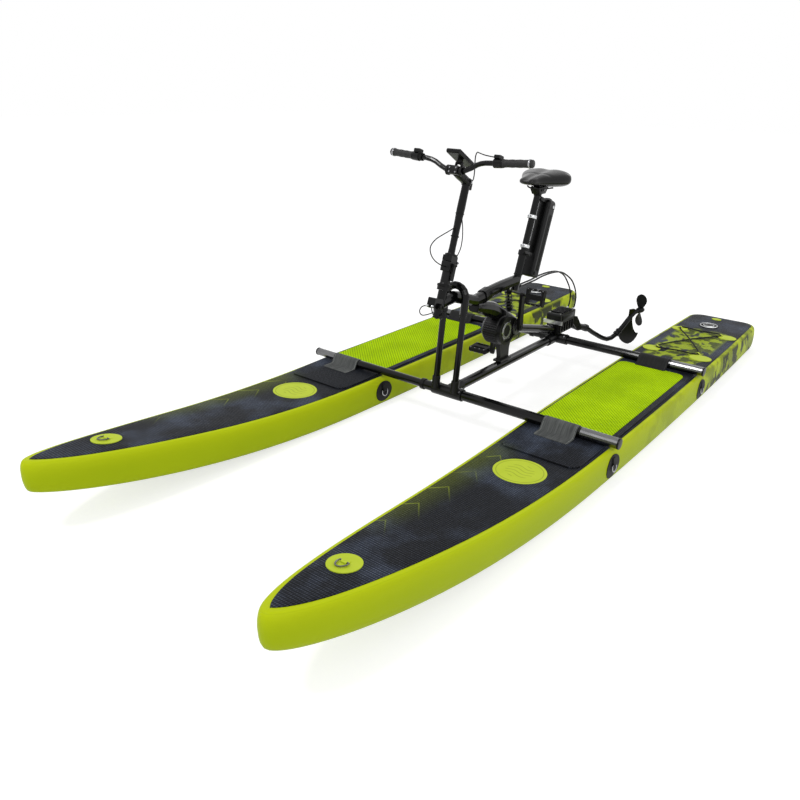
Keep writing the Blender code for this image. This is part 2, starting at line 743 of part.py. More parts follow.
def bungee_route(board_x):
    """Closed cord: across the tail, down a diagonal, across and back over the first diagonal."""
    low = DECK_Z + PATCH_TOP + CLEAR + BUNGEE_DIAMETER / 2
    tail_left, tail_right, fore_left, fore_right = BUNGEE_CORNERS
    middle_x = (tail_left[0] + fore_right[0]) / 2
    middle_y = (tail_left[1] + fore_right[1]) / 2
    over = low + BUNGEE_DIAMETER + 0.0015
    points = [(*tail_left, low), ((tail_left[0] + tail_right[0]) / 2, tail_left[1] + 0.004, low),
              (*tail_right, low), (middle_x, middle_y, low), (*fore_left, low),
              ((fore_left[0] + fore_right[0]) / 2, fore_left[1], low), (*fore_right, low),
              (middle_x, middle_y, over)]
    return smooth_route([(board_x + x, y, z) for x, y, z in points], 36, closed=True)


# Crossbars, beam and brackets
def crossbars():
    inner_end = BAR_OPEN_END_X + EXTENSION_INSERT
    for name, y in (("front", BAR_FRONT_Y), ("rear", BAR_REAR_Y)):
        tube = cylinder((BAR_OPEN_END_X, y, BAR_Z), (BAR_END_X, y, BAR_Z), BAR_RADIUS)
        inside = cylinder((BAR_OPEN_END_X - 0.01, y, BAR_Z), (BAR_END_X - END_CAP_LENGTH, y, BAR_Z),
                          bore(EXTENSION_RADIUS))
        solid(f"{name}_crossbar", tube, FRAME_BLACK, cut=[inside])
        inner_tube = cylinder((-BAR_END_X, y, BAR_Z), (inner_end, y, BAR_Z), EXTENSION_RADIUS)
        hollow = cylinder((-BAR_END_X + END_CAP_LENGTH, y, BAR_Z), (inner_end + 0.01, y, BAR_Z),
                          EXTENSION_RADIUS - EXTENSION_WALL)
        hole_x = -BAR_END_X + BUTTON_HOLE_INSET
        hole = cylinder((hole_x, y, BAR_Z), (hole_x, y, BAR_Z + BAR_RADIUS), BUTTON_HOLE_RADIUS, SMALL)
        solid(f"{name}_crossbar_extension", inner_tube, FRAME_BLACK, cut=[hollow, hole])


def flap_outline(bar_y, radius, ahead, behind):
    """Side view of a webbing flap that lies on the pad and runs over a tube of this radius."""
    outer = radius + CLEAR + FLAP_THICKNESS
    low = PAD_TOP_Z + CLEAR
    top = low + FLAP_THICKNESS
    run = 1.75 * outer
    short = behind < run + 0.005
    run_behind = behind - 0.004 if short else run
    last = 4 if short else 22
    lower = arc(bar_y, BAR_Z, (radius + CLEAR) / cos(radians(10)), 158, last, 8)
    upper = arc(bar_y, BAR_Z, outer / cos(radians(10)), 158, last, 8)
    outline = [(bar_y - ahead, low), (bar_y - run, low)] + lower
    outline += [(bar_y + run_behind, low), (bar_y + behind, low), (bar_y + behind, top)]
    outline += [(bar_y + run_behind + 0.002, top)] + upper[::-1]
    return outline + [(bar_y - run - 0.002, top), (bar_y - ahead, top)]


def bar_flaps():
    """Flaps over both tubes; a bed under the thinner tube brings it level with the other one."""
    places = (("front", BAR_FRONT_Y, FLAP_BEHIND), ("rear", BAR_REAR_Y, PAD_REAR_Y - BAR_REAR_Y))
    for name, bar_y, behind in places:
        for side, board, radius in ((1, "port", BAR_RADIUS), (-1, "starboard", EXTENSION_RADIUS)):
            middle = side * BOARD_X + FLAP_SHIFT
            low_x, high_x = middle - FLAP_WIDTH / 2, middle + FLAP_WIDTH / 2
            beds = []
            if side < 0:
                reach = min(2 * radius, behind)
                beds.append(block((low_x, bar_y - reach, PAD_TOP_Z + CLEAR),
                                  (high_x, bar_y + reach, BAR_Z - EXTENSION_RADIUS - CLEAR)))
            outline = flap_outline(bar_y, radius, FLAP_AHEAD, behind)
            solid(f"{board}_{name}_flap", plate(outline, low_x, high_x), FLAP_GREY, add=beds)


def fork_sides(shape_at):
    """The same shape at both sides of the fork, in its leaned frame."""
    return moved(together(*[shape_at(side * FORK_HALF_WIDTH) for side in (1, -1)]), FORK)


def bracket(name, y, inward, sockets=(), bores=()):
    """Sleeve round a crossbar with a socket for the beam and any others given."""
    half = SLEEVE_LENGTH / 2
    sleeve = cylinder((-half, y, BAR_Z), (half, y, BAR_Z), SLEEVE_RADIUS)
    reach = y + inward * (SLEEVE_RADIUS + BEAM_SOCKET_LENGTH)
    socket = cylinder((0, y + inward * 0.012, BAR_Z), (0, reach, BAR_Z), BEAM_SOCKET_RADIUS)
    bar_bore = cylinder((-half - 0.01, y, BAR_Z), (half + 0.01, y, BAR_Z), bore(BAR_RADIUS))
    floor = y + inward * (SLEEVE_RADIUS + BEAM_STOP - CLEAR)
    beam_bore = cylinder((0, floor, BAR_Z), (0, reach + inward * 0.01, BAR_Z), bore(BEAM_RADIUS))
    solid(name, sleeve, CAST_GREY, add=[socket, *sockets], cut=[bar_bore, beam_bore, *bores])


def beam_and_brackets():
    ends = (BAR_FRONT_Y + SLEEVE_RADIUS + BEAM_STOP, BAR_REAR_Y - SLEEVE_RADIUS - BEAM_STOP)
    solid("centre_beam", cylinder((0, ends[0], BAR_Z), (0, ends[1], BAR_Z), BEAM_RADIUS), FRAME_BLACK)
    sockets = fork_sides(lambda x: cylinder((x, 0, -0.014), (x, 0, FORK_SOCKET_TOP), FORK_SOCKET_RADIUS))
    bores = fork_sides(lambda x: cylinder((x, 0, FORK_SOCKET_FLOOR), (x, 0, FORK_SOCKET_TOP + 0.01),
                                          bore(FORK_LEG_RADIUS)))
    bracket("front_beam_bracket", BAR_FRONT_Y, 1, [sockets], [bores])
    bracket("rear_beam_bracket", BAR_REAR_Y, -1)


def fork():
    """Two straight legs whose tops enter the ends of an arch."""
    legs = fork_sides(lambda x: cylinder((x, 0, FORK_SOCKET_FLOOR + CLEAR), (x, 0, CROWN_BOTTOM + 0.03),
                                         FORK_LEG_RADIUS))
    path = [(FORK_HALF_WIDTH, 0, CROWN_BOTTOM), (FORK_HALF_WIDTH, 0, CROWN_BOTTOM + 0.04)]
    for step in range(10):
        angle = radians(20 * step)
        path.append((FORK_HALF_WIDTH * cos(angle), 0, CROWN_ARCH_Z + FORK_HALF_WIDTH * sin(angle)))
    path += [(-FORK_HALF_WIDTH, 0, CROWN_BOTTOM + 0.04), (-FORK_HALF_WIDTH, 0, CROWN_BOTTOM)]
    arch = moved(sweep(path, CROWN_RADIUS, FINE, across=(0, 1, 0)), FORK)
    solid("fork", arch, FRAME_BLACK, add=[legs])


# Frame: routes as (y, z) on the middle plane
MAIN_ROUTE = ((-0.380, 0.645), (-0.300, 0.654), (-0.250, 0.648), (-0.170, 0.620), (-0.095, 0.598),
              (-0.030, 0.604), (0.020, 0.613), (0.150, 0.622), (0.297, 0.625))
DOWN_ROUTE = ((-0.100, 0.566), (-0.020, 0.545), (0.065, 0.5175), (0.150, 0.476), (0.235, 0.434),
              (0.290, 0.407))
DOWN_HALF_HEIGHTS = (0.025, 0.036, 0.0425, 0.038, 0.030, 0.024)
CROSS_BOSS = 0.425


def main_tube(grow=0.0):
    path = smooth_route([(0, y, z) for y, z in MAIN_ROUTE], 15)
    return sweep(path, (MAIN_HALF_WIDTH, MAIN_HALF_HEIGHT), FINE, power=2.6, grow=grow)


def lug_shape(grow=0.0):
    path = smooth_route([(0, y, z) for y, z in MAIN_ROUTE[5:7]], 3)
    return sweep(path, (MAIN_HALF_WIDTH + 0.005, MAIN_HALF_HEIGHT + 0.004), FINE, power=3.0, grow=grow)


def down_tube_shape(grow=0.0):
    path = smooth_route([(0, y, z) for y, z in DOWN_ROUTE], 12)
    known = [y for y, _ in DOWN_ROUTE]
    sizes = [(DOWN_HALF_WIDTH, float(np.interp(point[1], known, DOWN_HALF_HEIGHTS))) for point in path]
    return sweep(path, sizes, FINE, power=2.6, grow=grow)


def crank_shell(grow=0.0):
    return cylinder((SHELL_STARBOARD_X - grow, CRANK_Y, CRANK_Z), (SHELL_PORT_X + grow, CRANK_Y, CRANK_Z),
                    SHELL_RADIUS + grow)


def frame():
    head = moved(cylinder((0, 0, HEAD_BOTTOM), (0, 0, HEAD_TOP), HEAD_RADIUS), HEAD)
    seat_tube = moved(cylinder((0, 0, -0.050), (0, 0, SEAT_TUBE_TOP), SEAT_TUBE_RADIUS), SEAT)
    post_bottom = SEAT_TUBE_TOP + 0.006 - POST_INSERT
    seat_bore = moved(cylinder((0, 0, post_bottom - CLEAR), (0, 0, SEAT_TUBE_TOP + 0.02), bore(POST_RADIUS)),
                      SEAT)
    boss_reach = FORK_HALF_WIDTH - CROWN_RADIUS - CLEAR
    boss = moved(cylinder((-boss_reach, 0, CROSS_BOSS), (boss_reach, 0, CROSS_BOSS), 0.012, FINE), FORK)
    arm = moved(block((-0.020, -0.075, 0.020), (0.020, -0.010, 0.066), 0.008), HEAD)
    solid("main_frame", main_tube(), FRAME_BLACK, add=[head, seat_tube, lug_shape(), boss, arm],
          cut=[seat_bore])
    axle_bore = cylinder((SHELL_STARBOARD_X - 0.01, CRANK_Y, CRANK_Z),
                         (SHELL_PORT_X + 0.01, CRANK_Y, CRANK_Z), bore(AXLE_RADIUS))
    solid("down_tube", down_tube_shape(), FRAME_BLACK, add=[crank_shell()],
          cut=[main_tube(CLEAR), lug_shape(LUG_CLEAR), axle_bore])


# Shock between the main tube and the down tube: bottom and top as (y, z)
SHOCK_BOTTOM = (0.2455, 0.4645)
SHOCK_TOP = (0.2185, 0.5955)
SPRING_RADIUS = 0.018
SPRING_WIRE = 0.006
SPRING_CURLS = 5
SPRING_START = 0.024
SPRING_END = 0.110


def shock():
    foot, head = Vector((0, *SHOCK_BOTTOM)), Vector((0, *SHOCK_TOP))
    length = (head - foot).length
    lean = atan2(head.y - foot.y, head.z - foot.z)
    place = Matrix.Translation(foot) @ Matrix.Rotation(-lean, 4, "X")
    steps = 10
    route = []
    for step in range(SPRING_CURLS * steps + 1):
        angle = 2 * pi * step / steps
        height = SPRING_START + (SPRING_END - SPRING_START) * step / (SPRING_CURLS * steps)
        route.append(place @ Vector((SPRING_RADIUS * cos(angle), SPRING_RADIUS * sin(angle), height)))
    cord("shock_spring", [route], SPRING_WIRE, SPRING_STEEL)
    least = min((a - b).length for index, a in enumerate(route) for b in route[index + steps // 2:])
    print("shock spring, least gap between curls in mm:", round((least - SPRING_WIRE) * 1000, 2))
    seat = SPRING_WIRE / 2 + CLEAR
    collar = SPRING_RADIUS + SPRING_WIRE / 2
    rod = SPRING_RADIUS - SPRING_WIRE / 2 - 0.003
    low, high = SPRING_START - seat, SPRING_END + seat
    profile = [(0.007, 0.0), (0.010, 0.004), (0.010, low - 0.006), (collar, low - 0.005), (collar, low),
               (rod, low), (rod, 0.066), (0.006, 0.067), (0.006, high), (collar, high),
               (collar, high + 0.005), (0.010, high + 0.007), (0.008, length)]
    damper = moved(turned(profile, FINE), place)
    solid("shock_damper", damper, SATIN_BLACK, cut=[main_tube(CLEAR), down_tube_shape(CLEAR)])


# Crank drive
def motor_turned(profile):
    """A body turned round the motor's axis, its heights measured to port."""
    along_x = Matrix.Translation((0, MOTOR_Y, MOTOR_Z)) @ Matrix.Rotation(pi / 2, 4, "Y")
    return moved(turned(profile, MOTOR_SIDES), along_x)


def motor_support():
    """Web from a foot on the beam to the drum and the shaft tube, with a curved rear edge."""
    foot_z = BAR_Z + BEAM_RADIUS + CLEAR
    corner = 0.074
    bend_z = foot_z + 0.052
    outline = arc(SUPPORT_REAR_Y + corner, bend_z, corner, 180, 90, 8)
    outline += [(SUPPORT_REAR_Y + corner, bend_z + corner + 0.010), (SHAFT_FRONT[0], SHAFT_FRONT[1] + 0.006),
                (MOTOR_Y, MOTOR_Z - MOTOR_RADIUS / 2), (SUPPORT_FRONT_Y, foot_z + 0.075),
                (SUPPORT_FRONT_Y + 0.012, foot_z + 0.030), (SUPPORT_FRONT_Y + 0.008, foot_z),
                (SUPPORT_REAR_Y, foot_z)]
    web = plate(outline, -SUPPORT_HALF_WIDTH, SUPPORT_HALF_WIDTH)
    foot = block((-2 * SUPPORT_HALF_WIDTH, SUPPORT_FRONT_Y, foot_z),
                 (2 * SUPPORT_HALF_WIDTH, SUPPORT_REAR_Y + 0.006, foot_z + 0.012), 0.004)
    radius = MOTOR_RADIUS + 2 * CLEAR
    drum = motor_turned([(radius, -2 * SUPPORT_HALF_WIDTH), (radius, 2 * SUPPORT_HALF_WIDTH)])
    solid("motor_support", web, CAST_GREY, add=[foot],
          cut=[drum, crank_shell(2 * CLEAR), shaft_shape(2 * CLEAR)])


def crank_drive(crank):
    case_low = MOTOR_PORT_X + 0.001
    outline = teardrop((MOTOR_Y, MOTOR_Z), MOTOR_RADIUS - 0.002, (CRANK_Y, CRANK_Z), 0.040)
    case = plate(outline, case_low, case_low + CASE_THICKNESS)
    rim = plate(teardrop((MOTOR_Y, MOTOR_Z), MOTOR_RADIUS - 0.014, (CRANK_Y, CRANK_Z), 0.030),
                case_low + CASE_THICKNESS - 0.004, case_low + CASE_THICKNESS + 0.01)
    axle_hole = cylinder((0, CRANK_Y, CRANK_Z), (0.1, CRANK_Y, CRANK_Z), bore(AXLE_RADIUS + 0.001))
    solid("crank_case", case, SATIN_BLACK, cut=[rim, axle_hole])
    cover = MOTOR_STARBOARD_X - MOTOR_COVER_DEPTH
    profile = [(0.020, cover), (0.046, cover), (0.050, cover + 0.004), (MOTOR_RADIUS - 0.018, cover + 0.006),
               (MOTOR_RADIUS - 0.016, MOTOR_STARBOARD_X), (MOTOR_RADIUS - 0.006, MOTOR_STARBOARD_X),
               (MOTOR_RADIUS, MOTOR_STARBOARD_X + 0.006), (MOTOR_RADIUS, MOTOR_PORT_X - 0.006),
               (MOTOR_RADIUS - 0.006, case_low - CLEAR)]
    solid("motor_drum", motor_turned(profile), CAST_GREY,
          cut=[down_tube_shape(2 * CLEAR), crank_shell(2 * CLEAR)])
    motor_support()
    outline = []
    for tooth in range(CHAINRING_TEETH):
        for share, reach in ((0.0, 0), (0.40, 0), (0.58, TOOTH_HEIGHT), (0.82, TOOTH_HEIGHT)):
            angle = 2 * pi * (tooth + share) / CHAINRING_TEETH
            radius = CHAINRING_RADIUS - TOOTH_HEIGHT + reach
            outline.append((radius * cos(angle), radius * sin(angle)))
    ring_x = case_low + CASE_THICKNESS + 0.003
    windows = []
    for arm in range(5):
        angle = 2 * pi * arm / 5
        y, z = 0.025 * cos(angle), 0.025 * sin(angle)
        windows.append(cylinder((ring_x - 0.01, y, z), (ring_x + 0.02, y, z), 0.0075, SMALL))
    hub = cylinder((ring_x - 0.001, 0, 0), (CRANK_INNER_X - CLEAR, 0, 0), 0.015)
    axle = cylinder((-CRANK_OUTER_X, 0, 0), (CRANK_OUTER_X, 0, 0), AXLE_RADIUS)
    solid("chainring_axle", plate(outline, ring_x, ring_x + 0.004), STEEL_DARK,
          add=[hub, axle], cut=[together(*windows)], parent=crank)


def crank_arm(side):
    """Crank from the axle to the pedal pin; side is 1 for the port one, which points up."""
    inner, outer = sorted((side * CRANK_INNER_X, side * CRANK_OUTER_X))
    tip = (0.0, side * CRANK_LENGTH)
    outline = teardrop((0.0, 0.0), 0.019, tip, 0.0135, steps=8)
    axle_bore = cylinder((inner - 0.01, 0, 0), (outer + 0.01, 0, 0), bore(AXLE_RADIUS))
    pin_end = side * (PEDAL_OUTER_X - 0.012)
    pin = cylinder((side * (CRANK_OUTER_X - 0.004), *tip), (pin_end, *tip), PEDAL_PIN_RADIUS)
    return plate(outline, inner, outer), pin, axle_bore


def pedal_shape(side, upright):
    """Body with two windows, round a bearing tube, about the pedal's own pin."""
    low, high = sorted((side * PEDAL_INNER_X, side * PEDAL_OUTER_X))
    half, thick = PEDAL_LENGTH / 2, PEDAL_THICKNESS / 2
    body = block((low, -half, -thick), (high, half, thick), 0.009)
    windows = []
    for end in (1, -1):
        start, stop = sorted((end * 0.013, end * (half - 0.010)))
        windows.append(block((low + 0.014, start, -0.03), (high - 0.014, stop, 0.03)))
    pin_bore = cylinder((low - 0.01, 0, 0), (high + 0.01, 0, 0), bore(PEDAL_PIN_RADIUS))
    turn = Matrix.Rotation(radians(upright), 4, "X")
    return moved(body, turn), [moved(together(*windows), turn), pin_bore]


def cranks_and_pedals(crank):
    for side, name, upright in ((1, "port", 78), (-1, "starboard", 4)):
        arm, pin, axle_bore = crank_arm(side)
        solid(f"{name}_crank", arm, SATIN_BLACK, add=[pin], cut=[axle_bore], parent=crank)
        anchor = axis_empty(f"{name}_pedal_axis", (0, 0, side * CRANK_LENGTH), parent=crank)
        body, cuts = pedal_shape(side, upright)
        solid(f"{name}_pedal", body, RUBBER_BLACK, cut=cuts, parent=anchor)


# Shaft and gearbox
def shaft_shape(grow=0.0):
    """Tube with a wider collar at each end, run on a little past the gearbox's face."""
    start, end = Vector((0, *SHAFT_FRONT)), Vector((0, *SHAFT_REAR))
    path = [start.lerp(end, share) for share in (0, 0.10, 0.11, 0.90, 0.91, 1)]
    path[-1] += (end - start).normalized() * 0.02
    sizes = [SHAFT_COLLAR, SHAFT_COLLAR, SHAFT_RADIUS, SHAFT_RADIUS, SHAFT_COLLAR, SHAFT_COLLAR]
    return sweep(path, sizes, ROUND, grow=grow)


def shaft_and_gearbox():
    face = block((-0.1, GEARBOX_FRONT_Y - CLEAR, 0.1), (0.1, GEARBOX_FRONT_Y + 0.1, 0.5))
    solid("shaft_tube", shaft_shape(), FRAME_BLACK,
          cut=[down_tube_shape(2 * CLEAR), crank_shell(CLEAR), face])
    floor = BAR_Z + BEAM_SOCKET_RADIUS + CLEAR
    half = GEARBOX_HALF_WIDTH
    lower = block((-half + 0.006, GEARBOX_FRONT_Y, floor),
                  (half - 0.006, GEARBOX_REAR_Y, GEARBOX_SEAM_Z - 0.004), 0.006)
    fins = []
    pitch = (GEARBOX_REAR_Y - GEARBOX_FRONT_Y - 0.03) / (FIN_COUNT - 1)
    for number in range(FIN_COUNT):
        y = GEARBOX_FRONT_Y + 0.012 + pitch * number
        fins.append(block((-half, y, floor + 0.008), (half, y + 0.006, GEARBOX_SEAM_Z - 0.010)))
    upper = block((-half, GEARBOX_FRONT_Y + 0.004, GEARBOX_SEAM_Z),
                  (half, GEARBOX_REAR_Y, GEARBOX_TOP_Z), 0.010)
    neck = block((-half + 0.004, GEARBOX_FRONT_Y + 0.008, GEARBOX_SEAM_Z - 0.01),
                 (half - 0.004, GEARBOX_REAR_Y - 0.004, GEARBOX_SEAM_Z + 0.01))
    ears = []
    for low, high in ((floor, YOKE_BOTTOM - CLEAR), (YOKE_TOP + CLEAR, YOKE_TOP + 0.020)):
        ears.append(cylinder((0, STEER_Y, low), (0, STEER_Y, high), EAR_RADIUS))
        ears.append(block((0.002 - EAR_RADIUS, GEARBOX_REAR_Y - 0.02, low),
                          (EAR_RADIUS - 0.002, STEER_Y, high)))
    cable_stops = [cylinder((x, GEARBOX_REAR_Y - 0.02, GEARBOX_TOP_Z - 0.03), (x, GEARBOX_REAR_Y + 0.012,
                   GEARBOX_TOP_Z - 0.016), 0.008, SMALL) for x in (CABLE_STOP_X, -CABLE_STOP_X)]
    solid("gearbox_case", lower, CAST_GREY, add=[together(*fins), upper, neck, together(ears[0], ears[2]),
                                                 together(ears[1], ears[3]), together(*cable_stops)])
    strip = block((-0.060, GEARBOX_FRONT_Y - 0.006, GEARBOX_SEAM_Z - 0.009),
                  (0.060, GEARBOX_FRONT_Y - CLEAR, GEARBOX_SEAM_Z + 0.013))
    solid("gearbox_plate", strip, SILVER, cut=[shaft_shape(CLEAR)])


# Stern leg: (s, z) pairs in the leg's own plane
LEG_ROUTE = ((0.055, 0.200), (0.100, 0.190), (0.145, 0.174), (0.200, 0.140), (0.290, 0.090), (0.345, 0.0745),
             (0.400, 0.093), (0.460, 0.145), (0.500, 0.186), (0.535, 0.218), (0.560, 0.2315), (0.580, 0.233))
SKEG_OUTLINE = ((0.425, 0.115), (0.434, 0.080), (0.450, 0.056), (0.473, 0.037), (0.497, 0.023),
                (0.521, 0.016), (0.548, 0.020), (0.572, 0.032), (0.590, 0.052), (0.603, 0.079),
                (0.584, 0.081), (0.568, 0.095), (0.552, 0.116), (0.542, 0.139), (0.533, 0.166),
                (0.528, 0.205), (0.500, 0.186), (0.460, 0.145))


def leg_tube_shape(grow=0.0):
    return sweep(smooth_route([(0, s, z) for s, z in LEG_ROUTE], 17), LEG_RADIUS, FINE, grow=grow)


def stern_leg(swing):
    pin_z = (YOKE_BOTTOM, YOKE_TOP)
    barrel = cylinder((0, 0, pin_z[0]), (0, 0, pin_z[1]), 0.022)
    inner = KNUCKLE_HALF_WIDTH + CLEAR
    outer = inner + YOKE_CHEEK
    cheek = [(-0.004, YOKE_BOTTOM + 0.004), (-0.004, YOKE_TOP - 0.010), (0.030, YOKE_TOP - 0.014)]
    cheek += arc(TILT_S, TILT_Z, 0.019, 40, -130, 8)
    cheeks = together(plate(cheek, inner, outer), plate(cheek, -outer, -inner))
    bridge = block((-outer, 0.008, YOKE_BOTTOM + 0.012), (outer, 0.030, YOKE_TOP - 0.016))
    pin = cylinder((-outer - 0.003, TILT_S, TILT_Z), (outer + 0.003, TILT_S, TILT_Z), TILT_PIN_RADIUS)
    solid("steer_yoke", barrel, CAST_GREY, add=[cheeks, bridge, pin], parent=swing)
    place = (0, TILT_S, TILT_Z)
    hub = cylinder((-KNUCKLE_HALF_WIDTH, TILT_S, TILT_Z), (KNUCKLE_HALF_WIDTH, TILT_S, TILT_Z),
                   KNUCKLE_RADIUS)
    sleeve = sweep([(0, 0.060, 0.1985), (0, 0.122, 0.1835), (0, 0.125, 0.1825), (0, 0.145, 0.175)],
                   [0.0205, 0.0205, 0.023, 0.023], ROUND)
    collars = together(sweep([(0, 0.404, 0.0965), (0, 0.414, 0.1055)], 0.0205, ROUND),
                       sweep([(0, 0.422, 0.1115), (0, 0.431, 0.1195)], 0.0205, ROUND))
    bracket = plate(((0.500, 0.193), (0.536, 0.222), (0.552, 0.236), (0.537, 0.250), (0.500, 0.250)),
                    -0.005, 0.005)
    pin_reach = KNUCKLE_HALF_WIDTH + 0.01
    pin_hole = cylinder((-pin_reach, TILT_S, TILT_Z), (pin_reach, TILT_S, TILT_Z), bore(TILT_PIN_RADIUS))
    end_face = block((-0.05, LEG_END_S, 0.18), (0.05, 0.65, 0.29))
    solid("leg_tube", leg_tube_shape(), FRAME_BLACK, add=[hub, sleeve, collars, bracket],
          cut=[pin_hole, end_face], parent=swing, pivot=place)
    half = SKEG_THICKNESS / 2
    clear_collars = together(sweep([(0, 0.403, 0.0956), (0, 0.415, 0.1064)], 0.0205, ROUND, grow=CLEAR),
                             sweep([(0, 0.421, 0.1106), (0, 0.432, 0.1204)], 0.0205, ROUND, grow=CLEAR))
    solid("skeg", plate(SKEG_OUTLINE, -half, half), SATIN_BLACK, cut=[leg_tube_shape(CLEAR), clear_collars],
          parent=swing, pivot=place)
    propeller(swing)


def blade():
    """A wide blade along +Z: its sections twist with the pitch and grow, then round off."""
    rings = []
    widths = ((0.012, 0.36), (0.030, 0.62), (0.050, 0.90), (0.068, 1.0), (0.084, 0.90), (0.096, 0.62),
              (PROPELLER_RADIUS, 0.25))
    for radius, width in widths:
        angle = atan2(BLADE_PITCH * PROPELLER_RADIUS * 2, 2 * pi * radius)
        half_chord = BLADE_CHORD / 2 * width
        thick = 0.0036 * (1 - 0.6 * radius / PROPELLER_RADIUS)
        ring = []
        for step in range(10):
            turn = 2 * pi * step / 10
            chord, rise = half_chord * cos(turn), thick * sin(turn)
            ring.append((chord * cos(angle) - rise * sin(angle), chord * sin(angle) + rise * cos(angle),
                         radius))
        rings.append(ring)
    return loft(rings)


def propeller(swing):
    place = Matrix.Translation((0, HUB_S, HUB_Z))
    start = LEG_END_S + CLEAR
    profile = [(0.015, start), (HUB_RADIUS, start + 0.008), (HUB_RADIUS, HUB_S + 0.012),
               (0.013, HUB_S + 0.026), (0.005, HUB_S + 0.034)]
    hub = sweep([(0, s, HUB_Z) for _, s in profile], [radius for radius, _ in profile], ROUND)
    blades = [moved(blade(), place @ Matrix.Rotation(2 * pi * number / BLADE_COUNT, 4, "Y"))
              for number in range(BLADE_COUNT)]
    solid("propeller", hub, SATIN_BLACK, add=[together(*blades)], parent=swing, pivot=(0, HUB_S, HUB_Z),
          sharp=60)


# Stem and column
def stem(steering):
    half_x, half_y = FOLD_BLOCK_HALF_X, FOLD_BLOCK_HALF_Y
    top = FOLD_Z - CLEAR / 2
    flare = turned([(0.031, HEAD_TOP + CLEAR), (0.031, 0.122), (0.023, 0.140), (0.022, 0.200)])
    upper = block((-half_x, -half_y, 0.190), (half_x, half_y, top), 0.004)
    knuckles = together(*[cylinder((side * 0.0103, FOLD_Y, FOLD_Z), (side * half_x, FOLD_Y, FOLD_Z),
                                   FOLD_BARREL_RADIUS, FINE) for side in (1, -1)])
    webs = together(*[block((min(side * 0.0103, side * half_x), half_y - 0.004, 0.222),
                            (max(side * 0.0103, side * half_x), FOLD_Y, FOLD_Z - 0.001)) for side in (1, -1)])
    ear = block((half_x - 0.003, -0.013, 0.214), (half_x + 0.0025, 0.013, 0.230))
    solid("stem_base", flare, CAST_GREY, add=[upper, webs, knuckles, ear],
          cut=[cylinder((-0.0103, FOLD_Y, FOLD_Z), (0.0103, FOLD_Y, FOLD_Z), FOLD_BARREL_RADIUS + 0.001)],
          parent=steering)
    lever_x = half_x + 0.0025 + LEVER_BARREL_RADIUS + CLEAR
    barrel = cylinder((lever_x, -0.012, 0.222), (lever_x, 0.012, 0.222), LEVER_BARREL_RADIUS, FINE)
    arm = block((lever_x - 0.003, -0.010, 0.152), (lever_x + 0.003, 0.010, 0.221), 0.006)
    solid("stem_lever", arm, SILVER, add=[barrel], parent=steering, pivot=(lever_x, 0, 0.222))
    foot = block((-half_x, -half_y, FOLD_Z + CLEAR / 2), (half_x, half_y, 0.262), 0.004)
    profile = [(0.021, 0.255), (0.0165, 0.276), (0.0155, 0.300), (0.0165, 0.400), (0.0190, 0.470),
               (0.0180, 0.540), (0.0180, COLUMN_TOP - 0.006), (0.0150, COLUMN_TOP)]
    middle = cylinder((-0.0097, FOLD_Y, FOLD_Z), (0.0097, FOLD_Y, FOLD_Z), FOLD_BARREL_RADIUS, FINE)
    middle_web = block((-0.0097, half_y - 0.004, FOLD_Z + 0.001), (0.0097, FOLD_Y, 0.250))
    reach = sweep([(0, 0, 0.586), (0, -0.050, 0.597), BAR_CENTRE], [0.0160, 0.0140, 0.0140], FINE)
    clamp = cylinder((-0.024, *BAR_CENTRE[1:]), (0.024, *BAR_CENTRE[1:]), 0.0185)
    hinge_y, hinge_z = DISPLAY_HINGE
    foot_z = BAR_CENTRE[2] - 0.011
    ear_outline = arc(hinge_y, hinge_z, 0.0062, -10, 190, 8)
    ear_outline += [(hinge_y - 0.012, foot_z), (hinge_y + 0.012, foot_z)]
    ears = together(*[plate(ear_outline, *sorted((side * 0.0123, side * 0.0175))) for side in (1, -1)])
    bar_bore = cylinder((-0.05, *BAR_CENTRE[1:]), (0.05, *BAR_CENTRE[1:]), bore(GRIP_BAR_RADIUS))
    solid("stem_column", turned(profile), FRAME_BLACK, add=[foot, middle_web, middle, reach, clamp, ears],
          cut=[bar_bore], parent=steering, pivot=(0, FOLD_Y, FOLD_Z))


def hand_frame(side):
    """Frame on one end of the handlebar: +Z runs outwards along the grip."""
    inner = Vector((side * HAND_INNER[0], *HAND_INNER[1:]))
    outer = Vector((side * HAND_OUTER[0], *HAND_OUTER[1:]))
    along = (outer - inner).normalized()
    turn = Vector((0, 0, 1)).rotation_difference(along).to_matrix().to_4x4()
    return Matrix.Translation(inner) @ turn, (outer - inner).length


